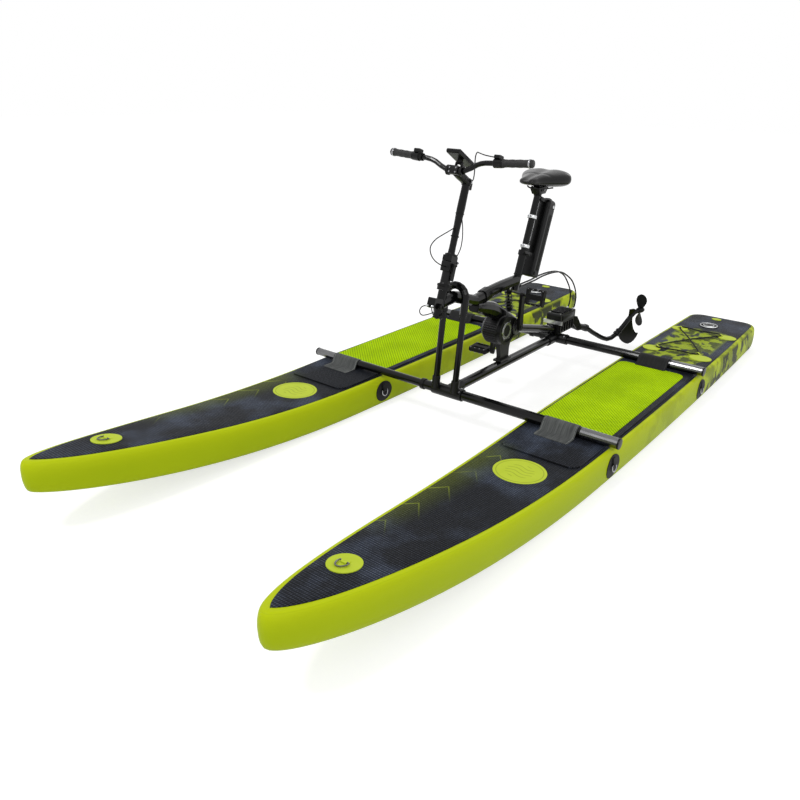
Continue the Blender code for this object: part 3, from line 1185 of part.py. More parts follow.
def handlebar(steering, fold_pivot):
    half = [BAR_CENTRE, (0.030, *BAR_CENTRE[1:]), (0.048, -0.1055, 0.6125), (0.076, -0.107, 0.6235),
            (0.105, -0.1115, 0.6385), (0.128, -0.1155, 0.6455), HAND_INNER, HAND_OUTER]
    path = [(-x, y, z) for x, y, z in half[:0:-1]] + half
    pods, boxes = [], []
    for side, name in ((1, "port"), (-1, "starboard")):
        place, reach = hand_frame(side)
        start = reach - GRIP_LENGTH
        ribs = []
        for number in range(3):
            at = start + 0.012 + number * 0.034
            ribs += [(GRIP_RADIUS, at), (GRIP_RADIUS - 0.0012, at + 0.014)]
        profile = [(GRIP_RADIUS + 0.002, start), (GRIP_RADIUS + 0.002, start + 0.005), *ribs,
                   (GRIP_RADIUS, reach + 0.002), (GRIP_RADIUS - 0.003, reach + 0.006)]
        bar_bore = cylinder((0, 0, start - 0.01), (0, 0, reach + CLEAR), bore(GRIP_BAR_RADIUS))
        solid(f"{name}_grip", moved(turned(profile), place), RUBBER_BLACK, cut=[moved(bar_bore, place)],
              parent=steering, pivot=fold_pivot)
        low, high = start - 0.036, start - CLEAR
        pod = turned([(0.018, low), (0.0195, low + 0.003), (0.0195, high - 0.003), (0.018, high)])
        pods.append(moved(pod, place))
        box_x = side * (HAND_INNER[0] + low + 0.0155)
        boxes.append(block((box_x - 0.013, -0.134, 0.668), (box_x + 0.013, -0.098, 0.684), 0.005))
    solid("handlebar", sweep(path, GRIP_BAR_RADIUS, FINE, across=(0, 1, 0)), FRAME_BLACK,
          add=[together(*pods), together(*boxes)], parent=steering, pivot=fold_pivot)
    place, reach = hand_frame(-1)
    low = reach - GRIP_LENGTH - 0.0363 - 0.016
    ring = turned([(0.0165, low), (0.0165, low + 0.0155)])
    paddle = block((-0.0355, 0.000, low + 0.002), (-0.012, 0.005, low + 0.0135))
    spin = Matrix.Rotation(radians(THROTTLE_REST), 4, "Z")
    throttle_bore = cylinder((0, 0, low - 0.01), (0, 0, low + 0.03), bore(GRIP_BAR_RADIUS))
    solid("throttle_lever", moved(ring, place), RUBBER_BLACK, add=[moved(paddle, place @ spin)],
          cut=[moved(throttle_bore, place)], parent=steering, pivot=place @ Vector((0, 0, low)))


def display(steering):
    hinge_y, hinge_z = DISPLAY_HINGE
    front, rear = Vector(DISPLAY_FRONT), Vector(DISPLAY_REAR)
    along = (rear - front).normalized()
    up = Vector((-along.y, along.x))
    half = DISPLAY_THICKNESS / 2
    outline = []
    for centre, start in ((rear - along * half, -90), (front + along * half, 90)):
        for step in range(7):
            angle = radians(start + 30 * step)
            point = centre + along * half * cos(angle) + up * half * sin(angle)
            outline.append((point.x, point.y))
    body = plate(outline, -DISPLAY_HALF_WIDTH, DISPLAY_HALF_WIDTH)
    barrel = cylinder((-0.012, hinge_y, hinge_z), (0.012, hinge_y, hinge_z), 0.0055, FINE)
    web = block((-0.012, hinge_y - 0.004, hinge_z), (0.012, hinge_y + 0.004, 0.664))
    solid("display", body, SATIN_BLACK, add=[barrel, web], parent=steering, pivot=(0, hinge_y, hinge_z))


# Seat post, battery and saddle
def seat(seat_axis, slide_axis):
    tube_bore = cylinder((0, 0, 0.1), (0, 0, SEAT_TUBE_TOP + 0.02), bore(SEAT_TUBE_RADIUS))
    ring = cylinder((0, 0, 0.134), (0, 0, SEAT_TUBE_TOP - 0.001), 0.0265)
    ear = block((0.020, -0.010, 0.137), (0.0365, 0.010, 0.156), 0.003)
    solid("seat_collar", ring, SATIN_BLACK, add=[ear], cut=[tube_bore], parent=seat_axis)
    lever_x = 0.0365 + LEVER_BARREL_RADIUS + CLEAR
    barrel = cylinder((lever_x, 0, 0.140), (lever_x, 0, 0.153), LEVER_BARREL_RADIUS, FINE)
    arm = block((lever_x - 0.003, -0.066, 0.1405), (lever_x + 0.003, 0, 0.1525), 0.004)
    solid("seat_lever", arm, SATIN_BLACK, add=[barrel], parent=seat_axis, pivot=(lever_x, 0, 0.1465))
    post_bottom = SEAT_TUBE_TOP + 0.006 - POST_INSERT
    post = cylinder((0, 0, post_bottom), (0, 0, POST_TOP), POST_RADIUS)
    solid("seat_post", post, FRAME_BLACK, parent=slide_axis)
    front = BATTERY_Y - BATTERY_HALF_Y
    rail = block((-RAIL_WIDTH / 2, POST_RADIUS + 0.002, RAIL_LOW),
                 (RAIL_WIDTH / 2, front - CLEAR, RAIL_HIGH), 0.004)
    rings = together(*[cylinder((0, 0, low), (0, 0, low + RING_HEIGHT), 0.0225)
                       for low in (LOWER_RING, UPPER_RING)])
    post_bore = cylinder((0, 0, 0.1), (0, 0, 0.5), bore(POST_RADIUS))
    solid("battery_mount", rail, SILVER, add=[rings], cut=[post_bore], parent=slide_axis)
    battery(slide_axis, front)
    to_seat = SEAT.inverted()
    head_low = POST_TOP + CLEAR
    head = turned([(0.0190, POST_TOP - 0.020), (0.0205, POST_TOP - 0.018), (0.0205, head_low + 0.004),
                   (0.0150, head_low + 0.006)])
    cradle = moved(block((-0.0295, CRADLE_Y - 0.023, CRADLE_Z - 0.007),
                         (0.0295, CRADLE_Y + 0.023, CRADLE_Z + 0.007), 0.005), to_seat)
    ends = (CRADLE_Y - 0.032, CRADLE_Y + 0.028)
    base_outline = [(ends[0] + 0.008, CRADLE_Z), (ends[1] - 0.008, CRADLE_Z),
                    (ends[1], saddle_bottom(ends[1]) - CLEAR), (ends[0], saddle_bottom(ends[0]) - CLEAR)]
    base = moved(plate(base_outline, -0.018, 0.018), to_seat)
    under = CLEAR - SADDLE_RAIL_RADIUS
    front_y, rear_y = SADDLE_NOSE_Y + 0.055, SADDLE_NOSE_Y + SADDLE_LENGTH - 0.034
    route = ((0.012, front_y, saddle_bottom(front_y) + under),
             (0.015, front_y + 0.016, saddle_bottom(front_y + 0.016) + under - 0.005),
             (0.0215, CRADLE_Y - 0.035, CRADLE_Z + 0.005), (0.0225, CRADLE_Y + 0.030, CRADLE_Z + 0.003),
             (0.029, rear_y - 0.018, saddle_bottom(rear_y - 0.018) + under - 0.002),
             (0.033, rear_y, saddle_bottom(rear_y) + under))
    rails = []
    for side in (1, -1):
        rail_route = [(side * x, y, z) for x, y, z in route]
        rails.append(moved(sweep(rail_route, SADDLE_RAIL_RADIUS, SMALL), to_seat))
    head_bore = cylinder((0, 0, 0.4), (0, 0, head_low), bore(POST_RADIUS))
    solid("saddle_clamp", head, STEEL_DARK, add=[cradle, base, together(*rails)], cut=[head_bore],
          parent=slide_axis)
    solid("saddle", moved(saddle_shape(), to_seat), SADDLE_LEATHER, parent=slide_axis, sharp=60)


def battery(slide_axis, front):
    """Case with rounded long edges, a stepped cap and a recess down each side."""
    outline = []
    radius = 0.016
    for x, y, start in ((1, 1, 0), (-1, 1, 90), (-1, -1, 180), (1, -1, 270)):
        for step in range(4):
            angle = radians(start + 30 * step)
            outline.append((x * (BATTERY_HALF_X - radius) + radius * cos(angle),
                            BATTERY_Y + y * (BATTERY_HALF_Y - radius) + radius * sin(angle)))

    def level(height, shrink):
        return [(x * shrink, BATTERY_Y + (y - BATTERY_Y) * shrink, height) for x, y in outline]

    cap = BATTERY_TOP - 0.045
    heights = ((BATTERY_BOTTOM, 0.94), (BATTERY_BOTTOM + 0.005, 1.0), (cap, 1.0), (cap, 0.95),
               (cap + 0.003, 0.95), (cap + 0.003, 1.0), (BATTERY_TOP - 0.018, 1.0),
               (BATTERY_TOP - 0.005, 0.90), (BATTERY_TOP, 0.72))
    grooves = []
    for side in (1, -1):
        face = side * BATTERY_HALF_X
        low, high = sorted((face - side * 0.002, face + side * 0.01))
        grooves.append(block((low, BATTERY_Y - 0.014, BATTERY_BOTTOM + 0.03),
                             (high, BATTERY_Y + 0.014, cap - 0.03), 0.006))
    solid("battery", loft([level(height, shrink) for height, shrink in heights]), SATIN_BLACK,
          cut=[together(*grooves)], parent=slide_axis)


def saddle_bottom(y):
    """Height of the saddle's underside on its middle line."""
    share = (y - SADDLE_NOSE_Y) / SADDLE_LENGTH
    return SADDLE_NOSE_BOTTOM + (SADDLE_TAIL_BOTTOM - SADDLE_NOSE_BOTTOM) * share


def saddle_shape():
    """Wedge from a slim nose to a wide thick tail, rounded at both ends; a channel runs down the middle."""
    channel_half_width, channel_depth = 0.024, 0.007
    rings = []
    for share in (0, 0.02, 0.06, 0.14, 0.25, 0.37, 0.50, 0.62, 0.74, 0.85, 0.93, 0.975, 1):
        y = SADDLE_NOSE_Y + share * SADDLE_LENGTH
        spread = min(max((share - 0.15) / 0.72, 0), 1)
        spread = spread * spread * (3 - 2 * spread)
        end = max(1 - (2 * share - 1) ** 8, 0.12) ** 0.5
        half = (SADDLE_NOSE_HALF_WIDTH + (SADDLE_TAIL_HALF_WIDTH - SADDLE_NOSE_HALF_WIDTH) * spread) * end
        bottom = saddle_bottom(y)
        top = SADDLE_NOSE_TOP + (SADDLE_TAIL_TOP - SADDLE_NOSE_TOP) * share
        waist = bottom + 0.42 * (top - bottom)
        ring = []
        for step in range(ROUND):
            angle = 2 * pi * step / ROUND
            side, rise = cos(angle), sin(angle)
            x = half * (abs(side) ** 0.75) * (1 if side >= 0 else -1)
            if rise >= 0:
                z = waist + (top - waist) * end * rise ** 0.60
                if 0.02 < share < 0.98:
                    z -= channel_depth * max(0, 1 - (x / channel_half_width) ** 2)
            else:
                x *= 1 - 0.16 * abs(rise)
                z = waist - (waist - bottom) * end * abs(rise) ** 0.7
            ring.append((x, y, z))
        rings.append(ring)
    return loft(rings)


# Cables
STEERING_ROUTE = ((0.3087, 0.591), (0.350, 0.5885), (0.405, 0.590), (0.480, 0.592), (0.557, 0.599),
                  (0.650, 0.599), (0.734, 0.592), (0.799, 0.578), (0.868, 0.548), (0.929, 0.507),
                  (0.983, 0.449), (1.008, 0.400), (1.0095, 0.366), (1.0035, 0.340), (0.9913, 0.3253),
                  (0.9785, 0.3197))
FRONT_LOOP = ((0.0, -0.0181, 0.3825), (0.0, -0.053, 0.362), (0.0, -0.100, 0.336), (0.0, -0.138, 0.313),
              (0.0, -0.163, 0.287), (0.0, -0.167, 0.265), (0.0, -0.150, 0.242), (0.0, -0.120, 0.225),
              (0.0, -0.084, 0.215), (0.0, -0.050, 0.2105), (0.0, -0.0254, 0.2100))
BAR_RUN = ((0.1913, -0.116, 0.6760), (0.170, -0.1155, 0.677), (0.125, -0.103, 0.684), (0.088, -0.085, 0.694),
           (0.064, -0.066, 0.700), (0.051, -0.052, 0.688), (0.050, -0.044, 0.660), (0.051, -0.036, 0.632),
           (0.044, -0.020, 0.608), (0.034, -0.0065, 0.592), (0.0186, -0.0029, 0.589))


def cables(steering):
    for side, name in ((1, "port"), (-1, "starboard")):
        points = [(side * CABLE_STOP_X * (1 if y > 0.9 else 0.62), y, z) for y, z in STEERING_ROUTE]
        cord(f"{name}_steering_cable", [smooth_route(points, 32)], STEERING_CABLE, RUBBER_BLACK)
    cord("column_cable", [smooth_route(FRONT_LOOP, 24)], COLUMN_CABLE, RUBBER_BLACK, parent=steering)
    cord("bar_cable", [smooth_route(BAR_RUN, 22)], COLUMN_CABLE, RUBBER_BLACK, parent=steering)


def main():
    boards()
    deck_fittings()
    crossbars()
    bar_flaps()
    beam_and_brackets()
    fork()
    frame()
    shock()
    crank = axis_empty("crank_axis", (0, CRANK_Y, CRANK_Z))
    crank_drive(crank)
    cranks_and_pedals(crank)
    shaft_and_gearbox()
    swing = axis_empty("leg_swing_axis", (0, STEER_Y, 0), swing=LEG_SWING)
    stern_leg(swing)
    steering = axis_empty("steering_axis", (0, HEAD_Y, HEAD_Z), lean=HEAD_LEAN)
    stem(steering)
    handlebar(steering, (0, FOLD_Y, FOLD_Z))
    display(steering)
    seat_axis = axis_empty("seat_axis", (0, SEAT_Y, SEAT_Z), lean=SEAT_LEAN)
    slide_axis = axis_empty("seat_slide_axis", (0, 0, 0), parent=seat_axis)
    seat(seat_axis, slide_axis)
    cables(steering)


main()
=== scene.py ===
# %% [markdown]
# A water bike, dressed for its picture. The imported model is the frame, already solid and in place.
# What is missing is what a hand would feel: fabric, foam, webbing, bolts and paint. Places are in
# metres, in the frame of the model, whose y runs aft and x to port.

# %% The fixed frame
from math import atan2, copysign, cos, degrees, pi, radians, sin

import bmesh
import bpy
import numpy as np
from mathutils import Matrix, Vector


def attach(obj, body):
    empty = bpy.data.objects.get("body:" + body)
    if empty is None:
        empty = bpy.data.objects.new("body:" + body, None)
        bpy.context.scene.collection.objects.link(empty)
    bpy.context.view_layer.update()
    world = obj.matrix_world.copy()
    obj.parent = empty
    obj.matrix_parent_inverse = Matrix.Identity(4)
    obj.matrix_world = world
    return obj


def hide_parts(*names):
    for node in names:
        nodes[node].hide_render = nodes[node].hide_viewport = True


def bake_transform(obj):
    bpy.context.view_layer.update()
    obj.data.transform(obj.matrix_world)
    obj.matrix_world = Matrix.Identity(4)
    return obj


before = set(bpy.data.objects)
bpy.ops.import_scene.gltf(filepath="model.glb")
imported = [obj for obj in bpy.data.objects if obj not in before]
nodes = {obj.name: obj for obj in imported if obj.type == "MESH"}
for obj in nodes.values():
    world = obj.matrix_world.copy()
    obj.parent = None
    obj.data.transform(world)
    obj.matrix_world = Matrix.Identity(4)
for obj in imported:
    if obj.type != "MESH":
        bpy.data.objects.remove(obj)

scene = bpy.context.scene
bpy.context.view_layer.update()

# %% [markdown]
# The camera stands ahead of the bow, to port and a little above the handlebar. An aim constraint
# could point it, but the horizon leans by one degree, so its three axes are written and rolled.

# %% Camera
CAMERA_PLACE, CAMERA_ROLL = (1.825, -3.002, 1.55), radians(1.12)
right, up = Vector((0.788, 0.615, 0.0)), Vector((-0.245, 0.3136, 0.9166))
ahead = Vector((-0.564, 0.723, -0.398)).normalized()
right, up = (right * cos(CAMERA_ROLL) + up * sin(CAMERA_ROLL),
             up * cos(CAMERA_ROLL) - right * sin(CAMERA_ROLL))
lens = bpy.data.cameras.new("camera")
lens.sensor_width, lens.lens = 36.0, 32.85
camera = bpy.data.objects.new("camera", lens)
scene.collection.objects.link(camera)
axes = Matrix((right, up, -ahead)).transposed().to_4x4()
camera.matrix_world = Matrix.Translation(CAMERA_PLACE) @ axes
scene.camera = camera
scene.view_settings.view_transform = "Standard"

# %% [markdown]
# Shader maths reads best as a formula. This class wraps one output of a node, so that a + b or
# 1 - a adds the Math node by itself.

# %% Shader sockets as numbers
class Wire:
    """One output of a shader node, which takes part in sums with numbers and other wires."""

    def __init__(self, tree, output=None):
        self.tree, self.output = tree, output

    def fill(self, socket, value):
        """Links a wire to a socket, or sets a number or colour on it."""
        if isinstance(value, Wire):
            self.tree.links.new(value.output, socket)
        else:
            socket.default_value = value

    def node(self, kind, sockets=None, output=0, **settings):
        """Adds a node: its settings first, then the values or links of its sockets."""
        added = self.tree.nodes.new("ShaderNode" + kind)
        for name, value in settings.items():
            setattr(added, name, value)
        for name, value in (sockets or {}).items():
            self.fill(added.inputs[name], value)
        return Wire(self.tree, added.outputs[output])

    def maths(self, operation, *others):
        return self.node("Math", dict(enumerate((self, *others))), operation=operation)

    def __add__(self, other):
        return self.maths("ADD", other)

    def __sub__(self, other):
        return self.maths("SUBTRACT", other)

    def __rsub__(self, other):
        return self.node("Math", {0: other, 1: self}, operation="SUBTRACT")

    def __mul__(self, other):
        return self.maths("MULTIPLY", other)

    def __gt__(self, other):
        return self.maths("GREATER_THAN", other)

    def __abs__(self):
        return self.maths("ABSOLUTE")

    __radd__ = __add__


def smooth_step(value, low, high):
    """0 below low, 1 above high and a soft S between them."""
    sockets = {0: value, 1: low, 2: high}
    return value.node("MapRange", sockets, interpolation_type="SMOOTHSTEP")


def mixed(share, first, second):
    """The first colour where share is 0 and the second where it is 1."""
    return share.node("Mix", {0: share, 6: first, 7: second}, output=2, data_type="RGBA")


def rgb(red, green=None, blue=None):
    """A full colour; one number alone is a grey."""
    return (red, red, red, 1.0) if green is None else (red, green, blue, 1.0)


# %% [markdown]
# Every finish is a Principled shader that reads the place of a point on the object. A few short
# helpers give its grain, and closing it joins colour, roughness and height to the shader.

# %% Starting and closing a finish
def start(name):
    made = bpy.data.materials.new(name)
    made.use_nodes = True
    return made, Wire(made.node_tree)


def place_on(paint, stretch=None):
    """Object coordinates, stretched by a Mapping node where asked."""
    at = paint.node("TexCoord", output="Object")
    return at.node("Mapping", {"Vector": at, "Scale": stretch}) if stretch else at


def speckle(paint, scale, detail, stretch=None):
    at = place_on(paint, stretch)
    return at.node("TexNoise", {"Vector": at, "Scale": scale, "Detail": detail, "Roughness": 0.5})


def along_axes(paint):
    """The x, y and z of Object coordinates as three wires."""
    outputs = paint.node("SeparateXYZ", {0: place_on(paint)}).output.node.outputs
    return [Wire(paint.tree, outputs[axis]) for axis in range(3)]


def close(made, colour, roughness, height, depth, shine=0.5, metallic=0.0):
    """Joins the finish to its shader: shine is how much light a black surface throws back."""
    paint, shader = Wire(made.node_tree), made.node_tree.nodes["Principled BSDF"]
    bump = paint.node("Bump", {"Height": height, "Distance": depth, "Strength": 1.0})
    for name, value in {"Base Color": colour, "Roughness": roughness, "Metallic": metallic,
                        "Specular IOR Level": shine, "Normal": bump}.items():
        paint.fill(shader.inputs[name], value)
    return made


# %% [markdown]
# The side wall of a board is lime PVC fabric, slightly uneven in colour, with the weave just
# showing. Aft of the seat it is printed with loose dark blotches, from two layers of thresholded
# noise. A mark on the mesh says how high a point is on the wall, and two welded seams follow it.

# %% Hull finish
LIME, LIME_DEEP, LIME_PAINTED_HIGHLIGHT = rgb(0.43, 0.53, 0.004), rgb(0.35, 0.45, 0.003), rgb(0.56, 0.64, 0.008)
OLIVE, BLOT_DARK, SEAM_PAINTED_SHADE = rgb(0.13, 0.17, 0.008), rgb(0.014, 0.019, 0.006), rgb(0.26, 0.34, 0.004)


def hull_finish():
    made, paint = start("hull_lime_pvc")
    _, y, z = along_axes(paint)
    cloudy = speckle(paint, 2.2, 3.0)
    weave = (y * 2600).maths("SINE") + (z * 2600).maths("SINE")
    aft = smooth_step(y, 0.8, 1.02)
    level = paint.node("Attribute", attribute_name="level", output="Fac")
    middle = 1 - smooth_step(abs(level), 0.55, 0.85)
    blots = smooth_step(speckle(paint, 11.0, 3.0, (1.0, 1.0, 0.8)), 0.51, 0.58)
    print_start = smooth_step(y, -0.15, 0.15) * 0.35 + aft * 0.65
    shade = smooth_step(speckle(paint, 6.5, 3.0, (1.2, 1.0, 1.0)), 0.47, 0.58) * print_start
    seam = smooth_step(abs(abs(level) - 0.8), 0.012, 0.03)
    colour = mixed(cloudy, LIME_DEEP, LIME)
    # Painted highlight: the upper wall is painted lighter, as if lit from above.
    colour = mixed(smooth_step(level, -0.1, 0.8) * 0.45, colour, LIME_PAINTED_HIGHLIGHT)
    colour = mixed(shade * 0.7, colour, OLIVE)
    colour = mixed(blots * aft * (0.25 + middle * 0.75) * 0.94, colour, BLOT_DARK)
    # The welded seams are real grooves; the darker lime painted along them is painted shade.
    colour = mixed((1 - seam) * 0.14, colour, SEAM_PAINTED_SHADE)
    height = weave * 0.1 + seam * 0.3 + speckle(paint, 60.0, 2.0) * 0.35
    return close(made, colour, 0.36 + cloudy * 0.16, height, 0.0006, 0.07)


hull_lime = hull_finish()

# %% [markdown]
# The decks are soft black EVA pressed with fine scales. A blue-grey sheen is painted on in patches.
# Along one edge a yellow-green glow is printed with thin chevrons, and the aft deck is printed in
# loose camouflage. The place across a board is found from the side of the origin it lies on.

# %% Deck finish
BOARD_X = 0.63
BOARDS = ("port", BOARD_X), ("starboard", -BOARD_X)


def across_board(x, offset=0.0):
    """Distance to port of a board's own middle line, for either board."""
    return x - ((x > 0.0) * (2 * BOARD_X) - BOARD_X + offset)


def pressed_scales(paint, side, y):
    """Rows of small raised scales, worn unevenly: 1 on a scale and 0 between them."""
    wobble = speckle(paint, 34.0, 2.0) * 1.6
    cross = (side * 400 + y * 270 + wobble).maths("SINE")
    back = (side * 400 - y * 270 + wobble).maths("SINE")
    worn = smooth_step(speckle(paint, 120.0, 3.0), 0.34, 0.62)
    return smooth_step(cross * back, -0.2, 0.5) * (0.45 + worn * 0.55)


def deck_finish():
    made, paint = start("deck_skin_eva")
    x, y, _ = along_axes(paint)
    side = across_board(x)
    scales = pressed_scales(paint, side, y)
    # Painted highlight: blue-grey patches of sheen on the black, brightest on the tops of the scales.
    clouds = smooth_step(speckle(paint, 3.8, 4.0, (1.3, 1.0, 1.0)), 0.44, 0.7)
    colour = mixed(clouds, rgb(0.0026, 0.003, 0.0038), rgb(0.02, 0.028, 0.046))
    colour = mixed(scales * (0.24 + clouds * 0.76), colour, rgb(0.09, 0.105, 0.145))
    bow = smooth_step(y, -1.55, -1.3) * (1 - smooth_step(y, -0.66, -0.5))
    glow = (1 - smooth_step(side, -0.19, -0.03)) * bow
    colour = mixed(glow * (0.25 + scales * 0.6), colour, rgb(0.125, 0.155, 0.008))
    zigzag = ((y * 0.6 + abs(side + 0.115) * 0.8) * 9.0).maths("FRACT") - 0.5
    chevron = smooth_step(abs(zigzag), 0.016, 0.03)
    gaps = smooth_step(speckle(paint, 5.0, 1.0), 0.4, 0.48)
    colour = mixed((1 - chevron) * gaps * glow * 0.65, colour, rgb(0.36, 0.44, 0.03))
    aft = smooth_step(y, 0.86, 0.93) * (1 - smooth_step(y, 1.6, 1.7))
    lime = smooth_step(speckle(paint, 7.5, 2.5, (1.5, 1.0, 1.0)), 0.42, 0.47) * aft
    dark = smooth_step(speckle(paint, 15.0, 3.0, (1.0, 1.3, 1.0)), 0.49, 0.54)
    edge = 1 - smooth_step(abs(side), 0.135, 0.165)
    colour = mixed(lime * edge * (0.6 + scales * 0.38), colour, rgb(0.42, 0.54, 0.006))
    colour = mixed(lime * edge * dark * 0.88, colour, rgb(0.03, 0.04, 0.006))
    return close(made, colour, 0.58 - scales * 0.16, scales, 0.001, 0.09)


deck_skin = deck_finish()

# %% [markdown]
# The pads are thicker foam. Their black rim is pressed like the deck, and the lime inlay is milled
# with diamond grooves, so it is rough everywhere and a little rougher in the cuts.

# %% Foam finish
GROOVE_PITCH = 0.0185


def foam_finish():
    made, paint = start("pad_lime_foam")
    x, y, _ = along_axes(paint)
    one, two = [smooth_step(abs((line * (pi / GROOVE_PITCH)).maths("SINE")), 0.08, 0.42)
                for line in (x + y, x - y)]
    cut = one * two
    clouds = smooth_step(speckle(paint, 5.0, 5.0), 0.3, 0.75)
    colour = mixed(clouds, rgb(0.42, 0.65, 0.002), rgb(0.55, 0.83, 0.003))
    # Painted shade: the grooves are painted a darker green.
    colour = mixed(1 - cut, colour, rgb(0.15, 0.27, 0.001))
    pores = speckle(paint, 700.0, 2.0)
    return close(made, colour, 0.92 - cut * 0.1, cut + pores * 0.25, 0.0016, 0.05)


pad_lime = foam_finish()

# %% [markdown]
# Glued patches are the wall's own fabric, in lime or black, and the round field on the bow is
# printed with a thin ring and ripples. Webbing is woven: ribs across, fine threads along, and a row
# of pale stitches close to each edge of a flap.

# %% Patch and webbing finishes
FIELD_OFFSET, FIELD_Y = 0.015, -0.715
FLAP_OFFSET, STITCH_LINE = -0.025, 0.0755
PATCH_LIMES = rgb(0.44, 0.55, 0.024), rgb(0.53, 0.63, 0.045)


def ring_and_ripples(paint):
    x, y, _ = along_axes(paint)
    side, along = across_board(x, FIELD_OFFSET), y - FIELD_Y
    reach = (side * side + along * along).maths("SQRT")
    ring = 1 - smooth_step(abs(reach - 0.094), 0.001, 0.0026)
    ripple = ((along + (side * 70.0).maths("SINE") * 0.007) * 42.0).maths("FRACT") - 0.5
    ripples = (1 - smooth_step(abs(ripple), 0.05, 0.12)) * (1 - smooth_step(reach, 0.056, 0.06))
    return (ring + ripples) * 0.55


def patch_finish(name, first, second, printed=None):
    made, paint = start(name)
    grain = speckle(paint, 1100.0, 2.0)
    colour = mixed(speckle(paint, 18.0, 3.0), first, second)
    if printed:
        colour = mixed(printed(paint), colour, rgb(0.17, 0.23, 0.01))
    return close(made, colour, 0.42 + grain * 0.2, grain, 0.00004, 0.12)


def webbing_finish(name, first, second, thread):
    made, paint = start(name)
    x, y, z = along_axes(paint)
    ribs = ((y + z) * 2100).maths("SINE")
    threads = (x * 4200).maths("SINE")
    line = smooth_step(abs(abs(across_board(x, FLAP_OFFSET)) - STITCH_LINE), 0.0006, 0.0011)
    stitch = (1 - line) * smooth_step(((y + z) * 1150).maths("SINE"), -0.2, 0.2)
    wear = smooth_step(speckle(paint, 150.0, 4.0, (1.0, 0.08, 0.08)), 0.25, 0.78)
    colour = mixed(stitch, mixed(wear, first, second), thread)
    height = ribs * 0.22 + threads * 0.12 + stitch * 0.9
    return close(made, colour, 0.7 + ribs * 0.08, height, 0.0005, 0.25)


patch_lime = patch_finish("patch_lime", *PATCH_LIMES)
field_lime = patch_finish("bow_field_lime", *PATCH_LIMES, ring_and_ripples)
patch_black = patch_finish("patch_black", rgb(0.006, 0.006, 0.0065), rgb(0.013, 0.013, 0.014))
flap_webbing = webbing_finish("flap_webbing_grey", rgb(0.045, 0.048, 0.048), rgb(0.1, 0.105, 0.102),
                             rgb(0.38, 0.4, 0.38))
flap_dark = webbing_finish("flap_webbing_dark", rgb(0.006, 0.006, 0.007), rgb(0.015, 0.015, 0.016),
                           rgb(0.05))

# %% [markdown]
# The tubes are powder coated in gloss black, with a faint orange-peel and wear. Castings are
# rougher, and plastics have a fine grain. One function covers them: two blacks, least and most
# roughness, grain size with its depth, and shine.

# %% Paint, castings, plastics and rubber
PAINT_BLACKS = rgb(0.0016, 0.0017, 0.0019), rgb(0.0036, 0.0038, 0.0041)
POLISHED_FROM = 0.7


def coated(name, dark, light, low, high, grain, depth, shine):
    made, paint = start(name)
    wear = speckle(paint, 14.0, 4.0)
    peel = speckle(paint, grain, 2.0)
    return close(made, mixed(wear, dark, light), low + wear * (high - low), peel, depth, shine)


def grip_finish():
    """Grey rubber with fine rings round the hand, and painted shade in the grooves between them."""
    made, paint = start("grip_rubber")
    x = along_axes(paint)[0]
    rings = smooth_step((x * 1500).maths("SINE"), -0.5, 0.5)
    dust = speckle(paint, 60.0, 4.0)
    # Painted shade: the grooves between the rings are painted near black.
    colour = mixed(rings, rgb(0.003), mixed(dust, rgb(0.014), rgb(0.034)))
    return close(made, colour, 0.42 + dust * 0.2, rings, 0.0004, 0.35)


def tube_finish():
    """Gloss black tube whose outer ends, past the boards' straps, are polished and anodised."""
    made, paint = start("crossbar_black")
    ends = abs(along_axes(paint)[0]) > POLISHED_FROM
    wear = speckle(paint, 14.0, 4.0)
    scuffs = speckle(paint, 90.0, 3.0, (0.2, 1.0, 1.0))
    bare = mixed(scuffs, rgb(0.11, 0.11, 0.113), rgb(0.22, 0.22, 0.225))
    colour = mixed(ends, mixed(wear, *PAINT_BLACKS), bare)
    return close(made, colour, 0.09 + wear * 0.06 + ends * 0.12, scuffs, 0.000004, 0.22, ends)


frame_black = coated("frame_gloss_black", *PAINT_BLACKS, 0.1, 0.18, 420.0, 0.000004, 0.2)
cast_black = coated("cast_black", rgb(0.0022, 0.0023, 0.0025), rgb(0.0065, 0.0066, 0.007),
                    0.28, 0.44, 900.0, 0.00004, 0.2)
satin_black = coated("satin_black_plastic", rgb(0.0022, 0.0022, 0.0024), rgb(0.0052, 0.0052, 0.0056),
                     0.26, 0.4, 1600.0, 0.00001, 0.16)
rubber = coated("rubber_black", rgb(0.003), rgb(0.0075), 0.55, 0.74, 1200.0, 0.00005, 0.16)
cable_black = coated("cable_black", rgb(0.003, 0.003, 0.0035), rgb(0.007, 0.007, 0.0075),
                     0.36, 0.5, 800.0, 0.00001, 0.2)
grip_grey = grip_finish()
crossbar_black = tube_finish()

# %% [markdown]
# Bare metal is told from paint by its brushing: noise squeezed along one axis turns into lines,
# which feed both roughness and height.

# %% Metals
def brushed(name, dark, light, low, high, stretch=(1, 1, 60)):
    made, paint = start(name)
    lines = speckle(paint, 60.0, 3.0, stretch)
    roughness = low + lines * (high - low)
    return close(made, mixed(lines, dark, light), roughness, lines, 0.00001, metallic=1.0)


silver = brushed("brushed_silver", rgb(0.56, 0.57, 0.58), rgb(0.78, 0.79, 0.8), 0.22, 0.4)
steel_dark = brushed("dark_steel", rgb(0.1, 0.1, 0.11), rgb(0.22, 0.22, 0.23), 0.24, 0.42)
spring_steel = brushed("spring_steel", rgb(0.03, 0.03, 0.032), rgb(0.08, 0.08, 0.085), 0.25, 0.4)
bolt_steel = brushed("bolt_steel", rgb(0.26, 0.26, 0.27), rgb(0.48, 0.48, 0.5), 0.2, 0.34, (8, 8, 8))

# %% [markdown]
# The saddle is black synthetic leather. The distance to the edges of a Voronoi pattern gives the
# creases between its small cells.

